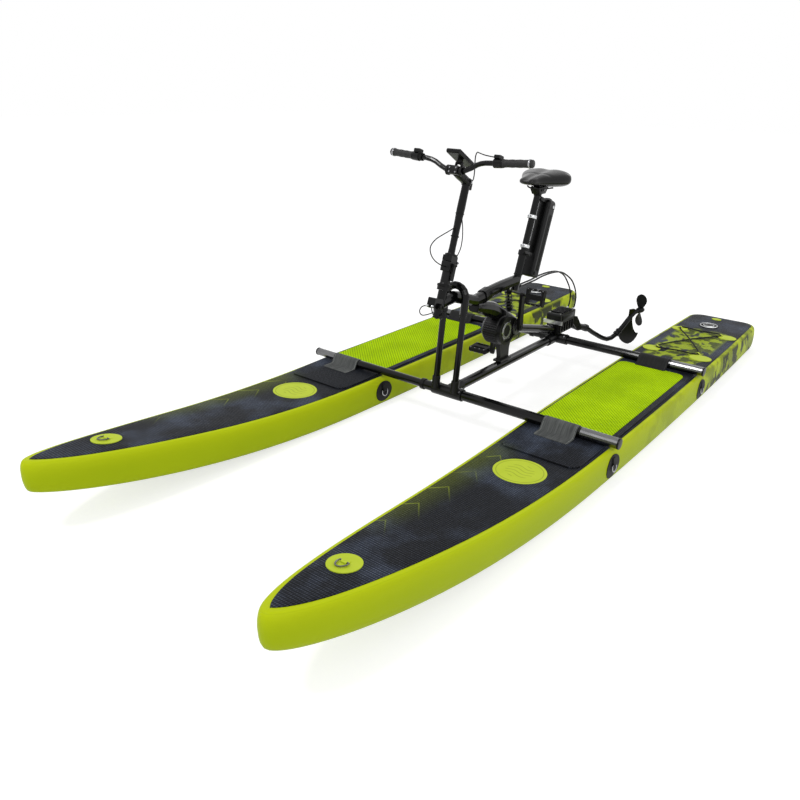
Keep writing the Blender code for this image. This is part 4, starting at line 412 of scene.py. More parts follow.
# %% Leather
def leather_finish():
    made, paint = start("saddle_leather")
    at = place_on(paint)
    cells = at.node("TexVoronoi", {"Vector": at, "Scale": 420.0}, feature="DISTANCE_TO_EDGE")
    creases = smooth_step(cells, 0.02, 0.16)
    wear = speckle(paint, 16.0, 3.0)
    # Painted shade: the creases are painted darker than the cells between them.
    colour = mixed(creases, rgb(0.002), rgb(0.0065, 0.0065, 0.007))
    return close(made, colour, 0.17 + wear * 0.12, creases, 0.00002, 0.3)


saddle_leather = leather_finish()

# %% [markdown]
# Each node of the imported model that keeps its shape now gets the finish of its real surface.

# %% Finishes of the frame's own nodes
WEAR = {
    crossbar_black: "front_crossbar rear_crossbar front_crossbar_extension rear_crossbar_extension",
    frame_black: "centre_beam fork main_frame down_tube shaft_tube leg_tube stem_column handlebar "
                 "seat_post",
    cast_black: "front_beam_bracket rear_beam_bracket motor_drum motor_support gearbox_case "
                "steer_yoke stem_base",
    satin_black: "crank_case port_crank starboard_crank skeg propeller seat_collar seat_lever "
                 "stem_lever battery battery_mount saddle_clamp display shock_damper",
    rubber: "port_pedal starboard_pedal throttle_lever",
    grip_grey: "port_grip starboard_grip",
    cable_black: "port_steering_cable starboard_steering_cable bar_cable",
    silver: "gearbox_plate",
    steel_dark: "chainring_axle port_nose_ring starboard_nose_ring",
    spring_steel: "shock_spring",
}
for finish, names in WEAR.items():
    for name in names.split():
        nodes[name].material_slots[0].material = finish
print("finished nodes", sum(len(names.split()) for names in WEAR.values()))

# %% [markdown]
# A piece starts as a primitive on its own and is shaped in edit mode. Then done() applies what is
# live, gives the finish, and hands the piece to the body that carries it. Four frames follow the
# bike. A name with {} in it stands for two pieces, mirrored from port to starboard.

# %% Modelling helpers
SIDES = (1, "port"), (-1, "starboard")
MERGE = 0.00002


def leaning(place, lean):
    """A frame at a place, leaning by degrees towards y, as the head tube does."""
    return Matrix.Translation(place) @ Matrix.Rotation(-radians(lean), 4, "X")


LEVEL = Matrix.Identity(4)
HEAD, SEAT = leaning((0, -0.3957, 0.6), 17.5), leaning((0, 0.297, 0.62), 19.2)
FORK = leaning((0, -0.315, 0.213), 6.7)


def new(kind, name, **settings):
    """Adds a primitive with nothing else selected, its place already in its mesh."""
    bpy.ops.object.select_all(action="DESELECT")
    getattr(bpy.ops.mesh, f"primitive_{kind}_add")(**settings)
    piece = bpy.context.object
    piece.name = piece.data.name = name
    bpy.ops.object.transform_apply(location=True, rotation=True, scale=True)
    return piece


def alone(piece):
    bpy.ops.object.select_all(action="DESELECT")
    piece.select_set(True)
    bpy.context.view_layer.objects.active = piece


def edit(piece, kind="FACE", action="SELECT"):
    """Edit mode on this piece alone, with all of it selected."""
    alone(piece)
    bpy.ops.object.mode_set(mode="EDIT")
    bpy.ops.mesh.select_mode(type=kind)
    bpy.ops.mesh.select_all(action=action)


def edit_end(piece, way=1):
    """Edit mode with only the faces selected that look straight up, or straight down for -1."""
    edit(piece, action="DESELECT")
    shell = bmesh.from_edit_mesh(piece.data)
    for face in shell.faces:
        face.select_set(face.normal.z * way > 0.9)
    shell.select_flush_mode()
    bmesh.update_edit_mesh(piece.data)


def leave():
    bpy.ops.object.mode_set(mode="OBJECT")


def seal():
    """Merges the points that meet, turns every face outwards and leaves edit mode."""
    bpy.ops.mesh.select_all(action="SELECT")
    bpy.ops.mesh.remove_doubles(threshold=MERGE)
    bpy.ops.mesh.normals_make_consistent(inside=False)
    leave()


def done(piece, finish, slot, body="base", stands_for=None, angle=35, bend=None):
    """Applies what is live, smooths, finishes and hands the piece over, or with bend leaves it in place."""
    alone(piece)
    for modifier in list(piece.modifiers):
        bpy.ops.object.modifier_apply(modifier=modifier.name)
    bpy.ops.object.transform_apply(location=True, rotation=True, scale=True)
    bpy.ops.object.shade_smooth_by_angle(angle=radians(angle))
    piece.data.materials.clear()
    piece.data.materials.append(finish)
    if bend:
        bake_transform(piece)
    else:
        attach(piece, body)
    if stands_for:
        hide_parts(stands_for)
    return piece


def copied(piece, name, matrix, body):
    """A copy with its own mesh, moved by a matrix."""
    twin = bpy.data.objects.new(name, piece.data.copy())
    scene.collection.objects.link(twin)
    twin.data.transform(matrix)
    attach(twin, body)


def twins(name):
    """The side and name of each piece that a name stands for."""
    return [(side, name.format(label)) for side, label in (SIDES if "{}" in name else SIDES[:1])]


def facing(axis):
    """The turn that stands z on an axis."""
    return Vector((0, 0, 1)).rotation_difference(Vector(axis)).to_matrix().to_4x4()


# %% [markdown]
# Two forms have no primitive. A skin through loops of points makes boards, pads and saddle: the
# points of a grid are put on the loops and the seam is merged. A swept bar is the same thing with
# its loops strung along a path.

# %% Skins through loops, and swept bars
def skin(name, loops, marks=None):
    """A closed skin through loops of points; marks gives each loop a number for the finish to read."""
    around = len(loops[0])
    piece = new("grid", name, x_subdivisions=around, y_subdivisions=len(loops) - 1, size=1)
    for number, point in enumerate(piece.data.vertices):
        row, column = divmod(number, around + 1)
        point.co = loops[row][column % around]
    if marks:
        level = piece.data.attributes.new("level", "FLOAT", "POINT")
        level.data.foreach_set("value", [mark for mark in marks for _ in range(around + 1)])
    edit(piece)
    seal()
    return piece


def rounded(path, count):
    """Evenly spaced points on the smooth curve through the given ones."""
    knots = [Vector(point) for point in path]
    knots = [2 * knots[0] - knots[1]] + knots + [2 * knots[-1] - knots[-2]]
    dense = []
    for before, begin, end, after in zip(knots, knots[1:], knots[2:], knots[3:]):
        for part in np.linspace(0, 1, 16, endpoint=False):
            dense.append(0.5 * (2 * begin + (end - before) * part
                                + (2 * before - 5 * begin + 4 * end - after) * part ** 2
                                + (3 * begin - before - 3 * end + after) * part ** 3))
    dense = np.array(dense + [knots[-2]])
    length = np.concatenate([[0], np.cumsum(np.linalg.norm(np.diff(dense, axis=0), axis=1))])
    return [Vector([np.interp(at, length, dense[:, axis]) for axis in range(3)])
            for at in np.linspace(0, length[-1], count)]


def signed(value, power):
    """A power of the size of a value, with its sign kept."""
    return copysign(abs(value) ** power, value)


def oval(half_width, half_height, sides, power=2.0):
    """Section of a bar: a circle, or a box with round corners as power grows."""
    turns = [2 * pi * (step + 0.5) / sides for step in range(sides)]
    return [(half_width * signed(cos(turn), 2 / power), half_height * signed(sin(turn), 2 / power))
            for turn in turns]


def swept(name, path, section, across=(1, 0, 0), widths=None, closed=False):
    """A bar of this section along a path, closed by its own ends or run round into itself."""
    path = [Vector(point) for point in path]
    ends = (path[-1:], path[:1]) if closed else (path[:1], path[-1:])
    loops = []
    for centre, before, after, width in zip(path, ends[0] + path, path[1:] + ends[1],
                                            widths or [1.0] * len(path)):
        tangent = (after - before).normalized()
        side = Vector(across)
        side = (side - tangent * side.dot(tangent)).normalized()
        high = tangent.cross(side)
        loops.append([centre + side * x * width + high * y for x, y in section])
    if closed:
        return skin(name, loops + loops[:1])
    first, last = [[sum(loop, Vector()) / len(loop)] * len(loop) for loop in (loops[0], loops[-1])]
    return skin(name, [first, *loops, last])


def bar(name, knots, count, section, look, body="base", around=LEVEL, across=(1, 0, 0), widths=None):
    """Sweeps a section along the smooth curve through knots that are given in a frame."""
    for side, title in twins(name):
        route = [around @ point for point in rounded([(side * x, y, z) for x, y, z in knots], count)]
        done(swept(title, route, section, around.to_3x3() @ Vector(across), widths), *look, body)


# %% [markdown]
# A board in plan is a full bow curve, a gentle taper aft and round tail corners, by the formulas
# that shape the model's solid boards. The outline runs up the port side, over the tail and back.

# %% Outline and heights of a board
THICK, NOSE_THICK, THIN_RUN = 0.15, 0.125, 0.7
BULGE = 0.025
NOSE_Y, TAIL_Y, WIDEST_Y = BULGE - 2.04, 2.04 - BULGE, 0.615
DECK_HALF, TAIL_HALF, TAIL_ROUND = 0.21, 0.19, 0.07
ROCKER_Y, ROCKER_RISE = -0.42, 0.17


def half_width(y):
    if y < WIDEST_Y:
        share = min((WIDEST_Y - y) / (WIDEST_Y - NOSE_Y), 1.0)
        return DECK_HALF * (1 - share ** 2.586) ** 0.576
    share = (y - WIDEST_Y) / (TAIL_Y - WIDEST_Y)
    half = DECK_HALF - (DECK_HALF - TAIL_HALF) * share ** 2
    into = y - (TAIL_Y - TAIL_ROUND)
    if into > 0:
        half -= TAIL_ROUND - max(TAIL_ROUND ** 2 - into ** 2, 0.0) ** 0.5
    return half


def bottom_z(y):
    return ROCKER_RISE * max((ROCKER_Y - y) / (ROCKER_Y - NOSE_Y), 0.0) ** 2.15


def deck_z(y):
    thin = max((NOSE_Y + THIN_RUN - y) / THIN_RUN, 0.0)
    return bottom_z(y) + THICK - (THICK - NOSE_THICK) * thin ** 2


def round_trip(side, steps=6):
    """Closed outline, as (across, along), from the points of its port side."""
    def over(half, y):
        return [(half * (1 - 2 * step / steps), y) for step in range(1, steps)]

    (first_half, first_y), last = side[0], side[-1]
    back = [(-half, y) for half, y in side[::-1]]
    pointed = first_half < 1e-6
    return side + over(*last) + (back[:-1] if pointed else back + over(-first_half, first_y))


def pushed(points, reach):
    """The outline moved outwards by a distance, square to itself."""
    moved = []
    for index, (x, y) in enumerate(points):
        before, after = points[index - 1], points[(index + 1) % len(points)]
        along = Vector((after[0] - before[0], after[1] - before[1])).normalized()
        far = reach(y) if callable(reach) else reach
        moved.append((x + along.y * far, y - along.x * far))
    return moved


bow = [NOSE_Y + (WIDEST_Y - NOSE_Y) * (step / 44) ** 2 for step in range(45)]
aft = np.linspace(WIDEST_Y, TAIL_Y - TAIL_ROUND, 13)[1:].tolist()
corner = [TAIL_Y - TAIL_ROUND * (1 - sin(radians(angle))) for angle in range(9, 91, 9)]
outline = round_trip([(half_width(y), y) for y in bow + aft + corner])
print("outline points", len(outline), "widest", round(2 * max(x for x, _ in outline), 3))

# %% [markdown]
# Air and the threads inside keep deck and bottom flat, and only the side wall bulges. The loops
# climb from the middle of the bottom, round the wall and on to the middle of the deck. It could be
# a subdivided box, but loops on the true outline keep the bow's fine curve.

# %% Hulls
LEVELS = [-1, -0.96, -0.9, -0.8, -0.66, -0.48, -0.26, 0, 0.26, 0.48, 0.66, 0.8, 0.9, 0.96, 1]
OFF_WALL = 1.2


def hull(name, middle_x):
    def flat(height, share):
        return [(middle_x + x * share, y, height(y)) for x, y in outline]

    loops = [flat(bottom_z, 0.0), flat(bottom_z, 0.5)]
    for level in LEVELS:
        turn = level * pi / 2
        reach = BULGE * max(cos(turn), 0.0) ** 0.6 if abs(level) < 1 else 0.0
        loop = []
        for (x, y), (_, base_y) in zip(pushed(outline, reach), outline):
            low, high = bottom_z(base_y), deck_z(base_y)
            loop.append((middle_x + x, y, (low + high) / 2 + (high - low) / 2 * sin(turn)))
        loops.append(loop)
    loops += [flat(deck_z, 0.5), flat(deck_z, 0.0)]
    return skin(name, loops, [-OFF_WALL, -OFF_WALL, *LEVELS, OFF_WALL, OFF_WALL])


hulls = {}
for name, board_x in BOARDS:
    hulls[name] = done(hull(f"{name}_hull", board_x), hull_lime, "hull", stands_for=f"{name}_board",
                       angle=50)
    print(name, "hull faces", len(hulls[name].data.polygons))

# %% [markdown]
# Deck skins, pads and inlays are stacks of outlines on the deck, each row an outline with its push
# outwards, its lift and its share of the width. A sheet has even thickness and an eased top edge.

# %% Sheets on the deck
SKIN_LOW, SKIN_TOP = -0.001, 0.0023
PAD_LOW, PAD_TOP = SKIN_TOP - 0.0005, 0.0106


def stack(name, middle_x, ground, rows):
    return skin(name, [[(middle_x + x * share, y, ground(y) + lift) for x, y in pushed(points, push)]
                       for points, push, lift, share in rows])


def sheet(name, middle_x, points, low, top, ease=0.0006, ground=deck_z):
    rows = [(points, 0, low, share) for share in (0.0, 0.5, 1.0)]
    rows += [(points, 0, top - ease, 1.0), (points, -ease * 0.35, top - ease * 0.3, 1.0)]
    rows += [(points, -ease, top, share) for share in (1.0, 0.66, 0.33, 0.0)]
    return stack(name, middle_x, ground, rows)


def soft_rectangle(front, rear, half_at, front_round, rear_round):
    """Port side of an outline with round corners."""
    quarter = [radians(90 * step / 7) for step in range(8)]
    rows = [(front + front_round * (1 - cos(turn)), front_round * (1 - sin(turn))) for turn in quarter]
    rows += [(y, 0) for y in np.linspace(front + front_round, rear - rear_round, 24)[1:-1].tolist()]
    rows += [(rear - rear_round * (1 - cos(turn)), rear_round * (1 - sin(turn)))
             for turn in quarter[::-1]]
    return [(half_at(y) - inward, y) for y, inward in rows]


skin_loop = pushed(outline, lambda y: -0.003 - 0.01 * max(0.0, (-1.8 - y) / 0.215) ** 2)
for name, board_x in BOARDS:
    done(sheet(f"{name}_deck", board_x, skin_loop, SKIN_LOW, SKIN_TOP), deck_skin, "deck",
         stands_for=f"{name}_deck_skin", angle=50)

# %% [markdown]
# The pad has a bevelled black rim and a sunken bed, and the lime inlay is let into that bed with a
# narrow groove all round.

# %% Pads and their inlays
BED, LIP = PAD_TOP - 0.004, PAD_TOP - 0.001
pad_loop = round_trip(soft_rectangle(-0.565, 0.847, lambda y: half_width(y) - 0.0125, 0.05, 0.05))
inlay_loop = round_trip(soft_rectangle(-0.235, 0.765, lambda y: 0.1785, 0.02, 0.045))
inlay_loop = [(x - 0.0135, y) for x, y in inlay_loop]
PAD_ROWS = [
    *((pad_loop, 0, PAD_LOW, share) for share in (0.0, 0.5, 1.0)),
    (pad_loop, 0, BED, 1.0), (pad_loop, -0.0016, LIP, 1.0), (pad_loop, -0.0042, PAD_TOP, 1.0),
    (inlay_loop, 0.003, PAD_TOP, 1.0), (inlay_loop, 0.002, LIP, 1.0),
    *((inlay_loop, 0.0018, BED, share) for share in (1.0, 0.6, 0.0)),
]


def level_deck(y):
    return THICK


for name, board_x in BOARDS:
    rim = done(stack(f"{name}_pad_rim", board_x, level_deck, PAD_ROWS), deck_skin, "pad",
               stands_for=f"{name}_traction_pad", angle=40)
    inlay = sheet(f"{name}_pad_inlay", board_x, inlay_loop, PAD_TOP - 0.0045, PAD_TOP, 0.0012, level_deck)
    done(inlay, pad_lime, "pad", angle=40)
    print(name, "pad", len(rim.data.polygons), "inlay", len(inlay.data.polygons))

# %% [markdown]
# Patches are glued on wherever something is tied down, and a round lime field marks the bow. A
# circle is filled and inset, then pressed onto the board by a Shrinkwrap modifier.

# %% Patches
def patch(name, halves, insets, segments, stand, onto, lift, thick, finish, along_z=True, flip=False):
    """A disc inset several times, moved by a matrix and pressed on a board along z or x."""
    piece = new("circle", name, vertices=segments, radius=1.0, fill_type="NGON")
    edit(piece)
    bpy.ops.transform.resize(value=(*halves, 1), center_override=(0, 0, 0))
    for thickness in insets:
        bpy.ops.mesh.inset(thickness=thickness)
    if flip:
        bpy.ops.mesh.select_all(action="SELECT")
        bpy.ops.mesh.flip_normals()
    leave()
    piece.data.transform(stand)
    press = piece.modifiers.new("press", "SHRINKWRAP")
    press.target, press.wrap_method, press.offset = onto, "PROJECT", lift
    press.use_negative_direction = True
    press.use_project_z, press.use_project_x = along_z, not along_z
    wall = piece.modifiers.new("wall", "SOLIDIFY")
    wall.thickness, wall.offset = thick, 1.0
    done(piece, finish, "hull", angle=30)


PATCHES = {
    "leaf_aft_starboard": (-0.148, 1.595, 0.048, 0.042), "leaf_aft_port": (0.14, 1.595, 0.054, 0.044),
    "leaf_fore_starboard": (-0.148, 1.11, 0.05, 0.046), "leaf_fore_port": (0.134, 1.11, 0.06, 0.05),
    "tail_field": (-0.03, 1.955, 0.03, 0.022), "nose_field": (-0.02, NOSE_Y + 0.32, 0.052, 0.06),
    "bow_field": (FIELD_OFFSET, FIELD_Y, 0.107, 0.107),
}
for name, board_x in BOARDS:
    for label, (across, y, *halves) in PATCHES.items():
        thick, finish = (0.0006, field_lime) if label == "bow_field" else (0.0026, patch_lime)
        patch(f"{name}_{label}", halves, [0.0016] + [min(halves) * 0.25] * 3, 48,
              Matrix.Translation((board_x + across, y, deck_z(y) + 0.03)),
              bpy.data.objects[f"{name}_deck"], 0.0001, thick, finish)
print("patches", 2 * len(PATCHES))

# %% [markdown]
# The inflation valve is turned. The spin operator needs loose edges, so a plane is merged into one
# point, which is extruded and spun. All profiles are flat lists of radii and heights, in
# millimetres. A look is a finish with its slot.

# %% Valves
PLASTIC, SATIN, CAST = (satin_black, "plastic"), (satin_black, "satin"), (cast_black, "cast")
BRIGHT, BOLT, SOFT = (silver, "silver"), (bolt_steel, "silver"), (rubber, "rubber")


def turned(name, profile, look, body, around, place, axis=(0, 0, 1), steps=28):
    """Spins a profile whose axis starts at a place in a frame and points along axis."""
    points = [(radius / 1000, 0, height / 1000) for radius, height in zip(profile[::2], profile[1::2])]
    for side, title in twins(name):
        piece = new("plane", title, size=0.001)
        edit(piece, "VERT")
        bpy.ops.mesh.merge(type="CENTER")
        bpy.ops.transform.translate(value=points[0])
        for before, after in zip(points, points[1:]):
            step = (after[0] - before[0], 0, after[2] - before[2])
            bpy.ops.mesh.extrude_region_move(TRANSFORM_OT_translate={"value": step})
        bpy.ops.mesh.select_all(action="SELECT")
        bpy.ops.mesh.spin(steps=steps, angle=2 * pi, center=(0, 0, 0), axis=(0, 0, 1))
        seal()
        (x, y, z), (away, *rest) = place, axis
        piece.data.transform(around @ Matrix.Translation((side * x, y, z)) @ facing((side * away, *rest)))
        done(piece, *look, body)


VALVE = (
    ("flange", rubber, (0, 0, 60, 0, 60, 2.6, 57.5, 4, 52, 4.4, 50.5, 3, 47, 3, 45.5, 5.2, 40, 5.8,
                        38.5, 4, 34, 4, 0, 4)),
    ("ring", silver, (34.5, 3.5, 33.5, 6.8, 30.5, 7.4, 29.5, 3.8, 34.5, 3.5)),
    ("rim", silver, (54, 3.5, 53, 6.8, 50, 7.4, 49, 3.8, 54, 3.5)),
    ("cap", satin_black, (0, 3.5, 26.5, 3.5, 26.5, 6.6, 24.5, 8, 10, 8, 8, 6.6, 0, 6.6)),
)
for name, board_x in BOARDS:
    for label, finish, profile in VALVE:
        turned(f"{name}_valve_{label}", profile, (finish, "deck"), "base", LEVEL,
               (board_x - 0.025, 1.775, THICK + SKIN_TOP - 0.0008), steps=40)

# %% [markdown]
# On each side wall sit two black oval patches, each with a metal D-ring held by a webbing loop.

# %% D-rings on the side walls
BARS = ("front", -0.285), ("rear", 0.815)
(_, FRONT_Y), (_, REAR_Y) = BARS
RING_BACK = [(-0.0022, 0.118), (0.0012, 0.098), (0.0042, 0.088), (0.0044, 0.08), (-0.0008, 0.0765)]


def side_ring(title, board, board_x, out, y):
    """A patch with its ring and strap on one wall; out is 1 for a board's port wall."""
    wall = board_x + out * (half_width(y) + BULGE)
    patch(f"{title}_patch", (0.054, 0.06), (0.003, 0.014, 0.014), 40,
          Matrix.Translation((wall + out * 0.02, y, 0.075)) @ Matrix.Rotation(pi / 2, 4, "Y"),
          board, 0.0002, 0.0026, patch_black, along_z=False, flip=out < 0)
    ring_x = wall + out * 0.006
    route = [(ring_x, y - 0.02, 0.083), (ring_x, y + 0.02, 0.083)]
    for turn in range(15, 180, 15):
        sine, cosine = sin(radians(turn)), cos(radians(turn))
        route.append((ring_x + out * 0.004 * sine, y + 0.022 * cosine, 0.079 - 0.026 * sine))
    done(swept(f"{title}_ring", route, oval(0.0028, 0.0028, 10), closed=True), bolt_steel, "ring")
    bar(f"{title}_strap", [(ring_x + out * reach, y, z) for reach, z in RING_BACK], 12,
        oval(0.015, 0.0009, 12, 5), (patch_black, "flap"), across=(0, 1, 0))


for name, board_x in BOARDS:
    for out, label in SIDES:
        for where, y in (("fore", FRONT_Y), ("aft", 0.845)):
            side_ring(f"{name}_{label}_wall_{where}", hulls[name], board_x, out, y)

# %% [markdown]
# Webbing flaps hold the crossbars down. Each lies flat on the pad, climbs over its tube and lies
# down again behind it. The free end has round corners, by the section's width along the path.

# %% Bar flaps
TUBES = {"port": 0.024, "starboard": 0.02}
CLEARANCE = 0.0003
PAD_SURFACE = THICK + PAD_TOP + CLEARANCE
BAR_Z = PAD_SURFACE + TUBES["port"]
FLAP_HALF, FLAP_THICK = 0.0825, 0.003


def flap(name, middle_x, bar_y, radius, ahead_of, behind):
    """A strap over a tube, from ahead of it to behind it."""
    low = PAD_SURFACE + FLAP_THICK / 2
    ridge = radius + CLEARANCE + FLAP_THICK / 2
    run = 1.75 * (radius + CLEARANCE + FLAP_THICK)
    short = behind < run + 0.005
    path = [(-ahead_of + (ahead_of - run) * 0.05 * step, low) for step in range(5)]
    path += [(-(ahead_of + run) / 2, low), (-run - 0.002, low), (-run + 0.004, low + 0.002)]
    for angle in range(152, -1 if short else 0, -11):
        path.append((ridge * cos(radians(angle)), BAR_Z + ridge * sin(radians(angle))))
    if short:
        path += [(behind - 0.004, low + 0.01), (behind - 0.001, low)]
    else:
        path += [(run - 0.004, low + 0.002), (run + 0.006, low), (behind, low)]
    widths = [1 - 0.1 * (1 - step / 5) ** 2 for step in range(6)] + [1.0] * (len(path) - 6)
    return swept(name, [(middle_x, bar_y + y, z) for y, z in path],
                 oval(FLAP_HALF, FLAP_THICK / 2, 28, 9), widths=widths)


for (bar_name, bar_y), lengths, finish in zip(BARS, ((0.107, 0.06), (0.066, 0.032)),
                                              (flap_webbing, flap_dark)):
    for name, board_x in BOARDS:
        piece = flap(f"{name}_{bar_name}_bar_flap", board_x + FLAP_OFFSET, bar_y, TUBES[name], *lengths)
        done(piece, finish, "flap", stands_for=f"{name}_{bar_name}_flap", angle=60)

# %% [markdown]
# The saddle's loops run from the nose to the tail, each one a rounded section with a channel down
# the middle. A crease crosses it where the nose meets the wide seat, and a subdivision smooths it.

# %% Saddle
SEAT_NOSE, SEAT_LENGTH = 0.298, 0.276
CHANNEL_HALF, CHANNEL_DEPTH = 0.024, 0.007
CREASE_AT, CREASE_WIDTH, CREASE_DEPTH = 0.47, 0.018, 0.0035


def saddle_loop(share, around=40):
    """The section at a share of the saddle's length."""
    spread = min(max((share - 0.15) / 0.72, 0), 1)
    spread = spread * spread * (3 - 2 * spread)
    end = max(1 - abs(2 * share - 1) ** 8, 0.0) ** 0.5
    half = (0.048 + 0.092 * spread) * end
    low, high = 1.101 - 0.033 * share, 1.131 + 0.038 * share
    waist = low + 0.42 * (high - low)
    crease = CREASE_DEPTH * np.exp(-((share - CREASE_AT) / CREASE_WIDTH) ** 2)
    loop = []
    for step in range(around):
        turn = 2 * pi * step / around
        rise = sin(turn)
        x = half * signed(cos(turn), 0.75)
        if rise >= 0:
            z = waist + (high - waist) * end * rise ** 0.6
            if end > 0.3:
                channel = max(0, 1 - (x / CHANNEL_HALF) ** 2) ** 1.5 * min(1, (end - 0.3) / 0.4)
                z -= CHANNEL_DEPTH * channel + crease * rise ** 0.3
        else:
            x *= 1 - 0.16 * abs(rise)
            z = waist - (waist - low) * end * abs(rise) ** 0.7
        loop.append((x, SEAT_NOSE + share * SEAT_LENGTH, z))
    return loop


saddle = skin("saddle_cover", [saddle_loop(0.5 - 0.5 * cos(pi * row / 44)) for row in range(45)])
smooth = saddle.modifiers.new("smooth", "SUBSURF")
smooth.levels = smooth.render_levels = 1
done(saddle, saddle_leather, "leather", "seat", "saddle", 60)
print("saddle faces", len(saddle.data.polygons))

# %% [markdown]
# A socket-head screw is a short cylinder whose top face is inset twice: for the rounded rim, and
# for the socket, which is pushed down. It is modelled once and copied to stand on each surface.

# %% Screws
MOTOR = (0, 0.145, 0.398)
SLANT = 0.03 * 0.7071
SIDE_SCREWS = (
    *((LEVEL, (x, y + way * SLANT, BAR_Z + SLANT), (0, way, 1), 0.0048, "base")
      for x, y, way in ((0.076, FRONT_Y, -1), (0.062, FRONT_Y, 1), (0.07, REAR_Y, 1), (0.07, REAR_Y, -1))),
    *((LEVEL, (0.033, y, 0.335), (0, 0, 1), 0.0042, "base") for y in (0.793, 0.949)),
    (LEVEL, (0.0295, 0.455, 1.0655), (1, 0, 0), 0.0052, "seat"),
    (HEAD, (0.024, 0.0315, 0.2355), (1, 0, 0), 0.005, "steering"),
    *((HEAD, (0.016, -0.1275, z), (0, -1, 0), 0.0034, "column") for z in (0.618, 0.6)),
    *((SEAT, (0.0052, -0.033, z), (1, 0, 0), 0.0044, "seat") for z in (0.181, 0.332)),
)
screws = [(around, (side * x, y, z), (side * away, *rest), radius, body) for side, _ in SIDES
          for around, (x, y, z), (away, *rest), radius, body in SIDE_SCREWS]
for turn in range(60, 301, 60):
    for x, reach, radius in ((0.052, 0.05, 0.004), (-0.064, 0.036, 0.0034)):
        y, z = MOTOR[1] + reach * cos(radians(turn)), MOTOR[2] + reach * sin(radians(turn))
        screws.append((LEVEL, (x, y, z), (x, 0, 0), radius, "base"))
screws.append((LEVEL, (0, 1.000, 0.308), (0, 0, 1), 0.0065, "base"))

screw = new("cylinder", "screw_master", vertices=18, radius=1.0, depth=1.0, location=(0, 0, 0.5))
edit_end(screw)
bpy.ops.mesh.inset(thickness=0.12)
bpy.ops.transform.translate(value=(0, 0, 0.1))
bpy.ops.mesh.inset(thickness=0.34)
bpy.ops.mesh.extrude_region_move(TRANSFORM_OT_translate={"value": (0, 0, -0.55)})
leave()
screw.data.materials.append(bolt_steel)
bpy.ops.object.shade_smooth_by_angle(angle=radians(35))
for number, (around, place, direction, radius, body) in enumerate(screws):
    stand = Matrix.Translation(around @ Vector(place)) @ facing(around.to_3x3() @ Vector(direction))
    size = Matrix.Diagonal((radius, radius, radius * 0.75, 1))
    copied(screw, f"screw_{number:02d}", stand @ size, body)
bpy.data.objects.remove(screw)
print("screws", len(screws))

# %% [markdown]
# Where tubes are joined, the welder leaves a bead like a row of overlapping coins: a thin ring
# swept round the joint, whose width swells and shrinks.

# %% Weld beads
def weld(name, around, centre, axis, radius, count=96):
    stand = around @ Matrix.Translation(centre) @ facing(axis)
    turns = [2 * pi * step / count for step in range(count)]
    path = [stand @ Vector((radius * cos(turn), radius * sin(turn), 0)) for turn in turns]
    widths = [0.8 + 0.45 * abs(sin(turn * count / 8)) for turn in turns]
    bead = swept(name, path, oval(0.0026, 0.0018, 8), around.to_3x3() @ Vector(axis), widths, closed=True)
    done(bead, frame_black, "frame", angle=60)


WELDS = [(FORK, (side * 0.055, 0, z), (0, 0, 1), radius)
         for z, radius in ((0.045, 0.0165), (0.366, 0.0163)) for side, _ in SIDES]
WELDS += [(LEVEL, (0, bar_y + 0.1, BAR_Z), (0, 1, 0), 0.0262) for bar_y in (FRONT_Y, REAR_Y - 0.2)]
WELDS += [(HEAD, (0, 0, -0.019), (0, 0, 1), 0.0222), (SEAT, (0, 0, 0.036), (0, 0, 1), 0.0222)]
for number, joint in enumerate(WELDS):
    weld(f"weld_{number}", *joint)

# %% [markdown]
# Turned trim: bands at the ends of the grips, plugs in the tube ends, dust caps on the crank, the
# ferrules of the steering cables, and the collar and button that lock the sliding tube.

# %% Turned trim
GRIP_BAND = (11, 0, 18, 0, 18.6, 1.2, 18.6, 5.8, 18, 7, 11, 7, 11, 0)
FERRULE = (0, 0, 6.8, 0, 7.2, 1, 7.2, 7, 6, 8.5, 6, 15, 5, 16, 0, 16)
COLLAR = (23.5, 0, 27.2, 0, 28, 1, 28, 19, 27.2, 20, 23.5, 20)

for side, name in SIDES:
    inner, outer = Vector((side * 0.15, -0.119, 0.6485)), Vector((side * 0.356, -0.103, 0.6645))
    grip, reach = HEAD @ Matrix.Translation(inner) @ facing(outer - inner), (outer - inner).length
    turned(f"{name}_grip_band", GRIP_BAND, BOLT, "column", grip, (0, 0, reach - 0.0135))
    turned(f"{name}_grip_collar", GRIP_BAND, PLASTIC, "column", grip, (0, 0, reach - 0.133))
    radius = TUBES[name] * 1000
    plug = (0, 1.8, radius - 5, 1.8, radius + 0.2, 1, radius + 1, 0, radius + 1, -6, radius, -6.8)
    for bar_name, bar_y in BARS:
        turned(f"{bar_name}_{name}_bar_plug", plug, PLASTIC, "base", LEVEL, (side * 0.873, bar_y, BAR_Z),
               (side, 0, 0))
turned("{}_crank_cap", (0, 0, 10, 0, 10.4, 2, 8.5, 4.2, 0, 4.8), PLASTIC, "crank", LEVEL,
       (0.084, 0.235, 0.402), (1, 0, 0))
turned("{}_cable_ferrule", FERRULE, BRIGHT, "base", LEVEL, (0.018, 0.9775, 0.319), (0, 0.75, 0.45))
turned("{}_cable_root", FERRULE, PLASTIC, "base", LEVEL, (0.0112, 0.311, 0.591), (0, 1, 0))
for bar_name, bar_y in BARS:
    turned(f"{bar_name}_slide_collar", COLLAR, PLASTIC, "base", LEVEL, (-0.157, bar_y, BAR_Z), (1, 0, 0))
    turned(f"{bar_name}_slide_button", (0, 3.5, 1.8, 3.2, 3.4, 1.6, 3.6, -2, 0, -2), BRIGHT, "base", LEVEL,
           (-0.828, bar_y, BAR_Z + 0.0195), steps=16)

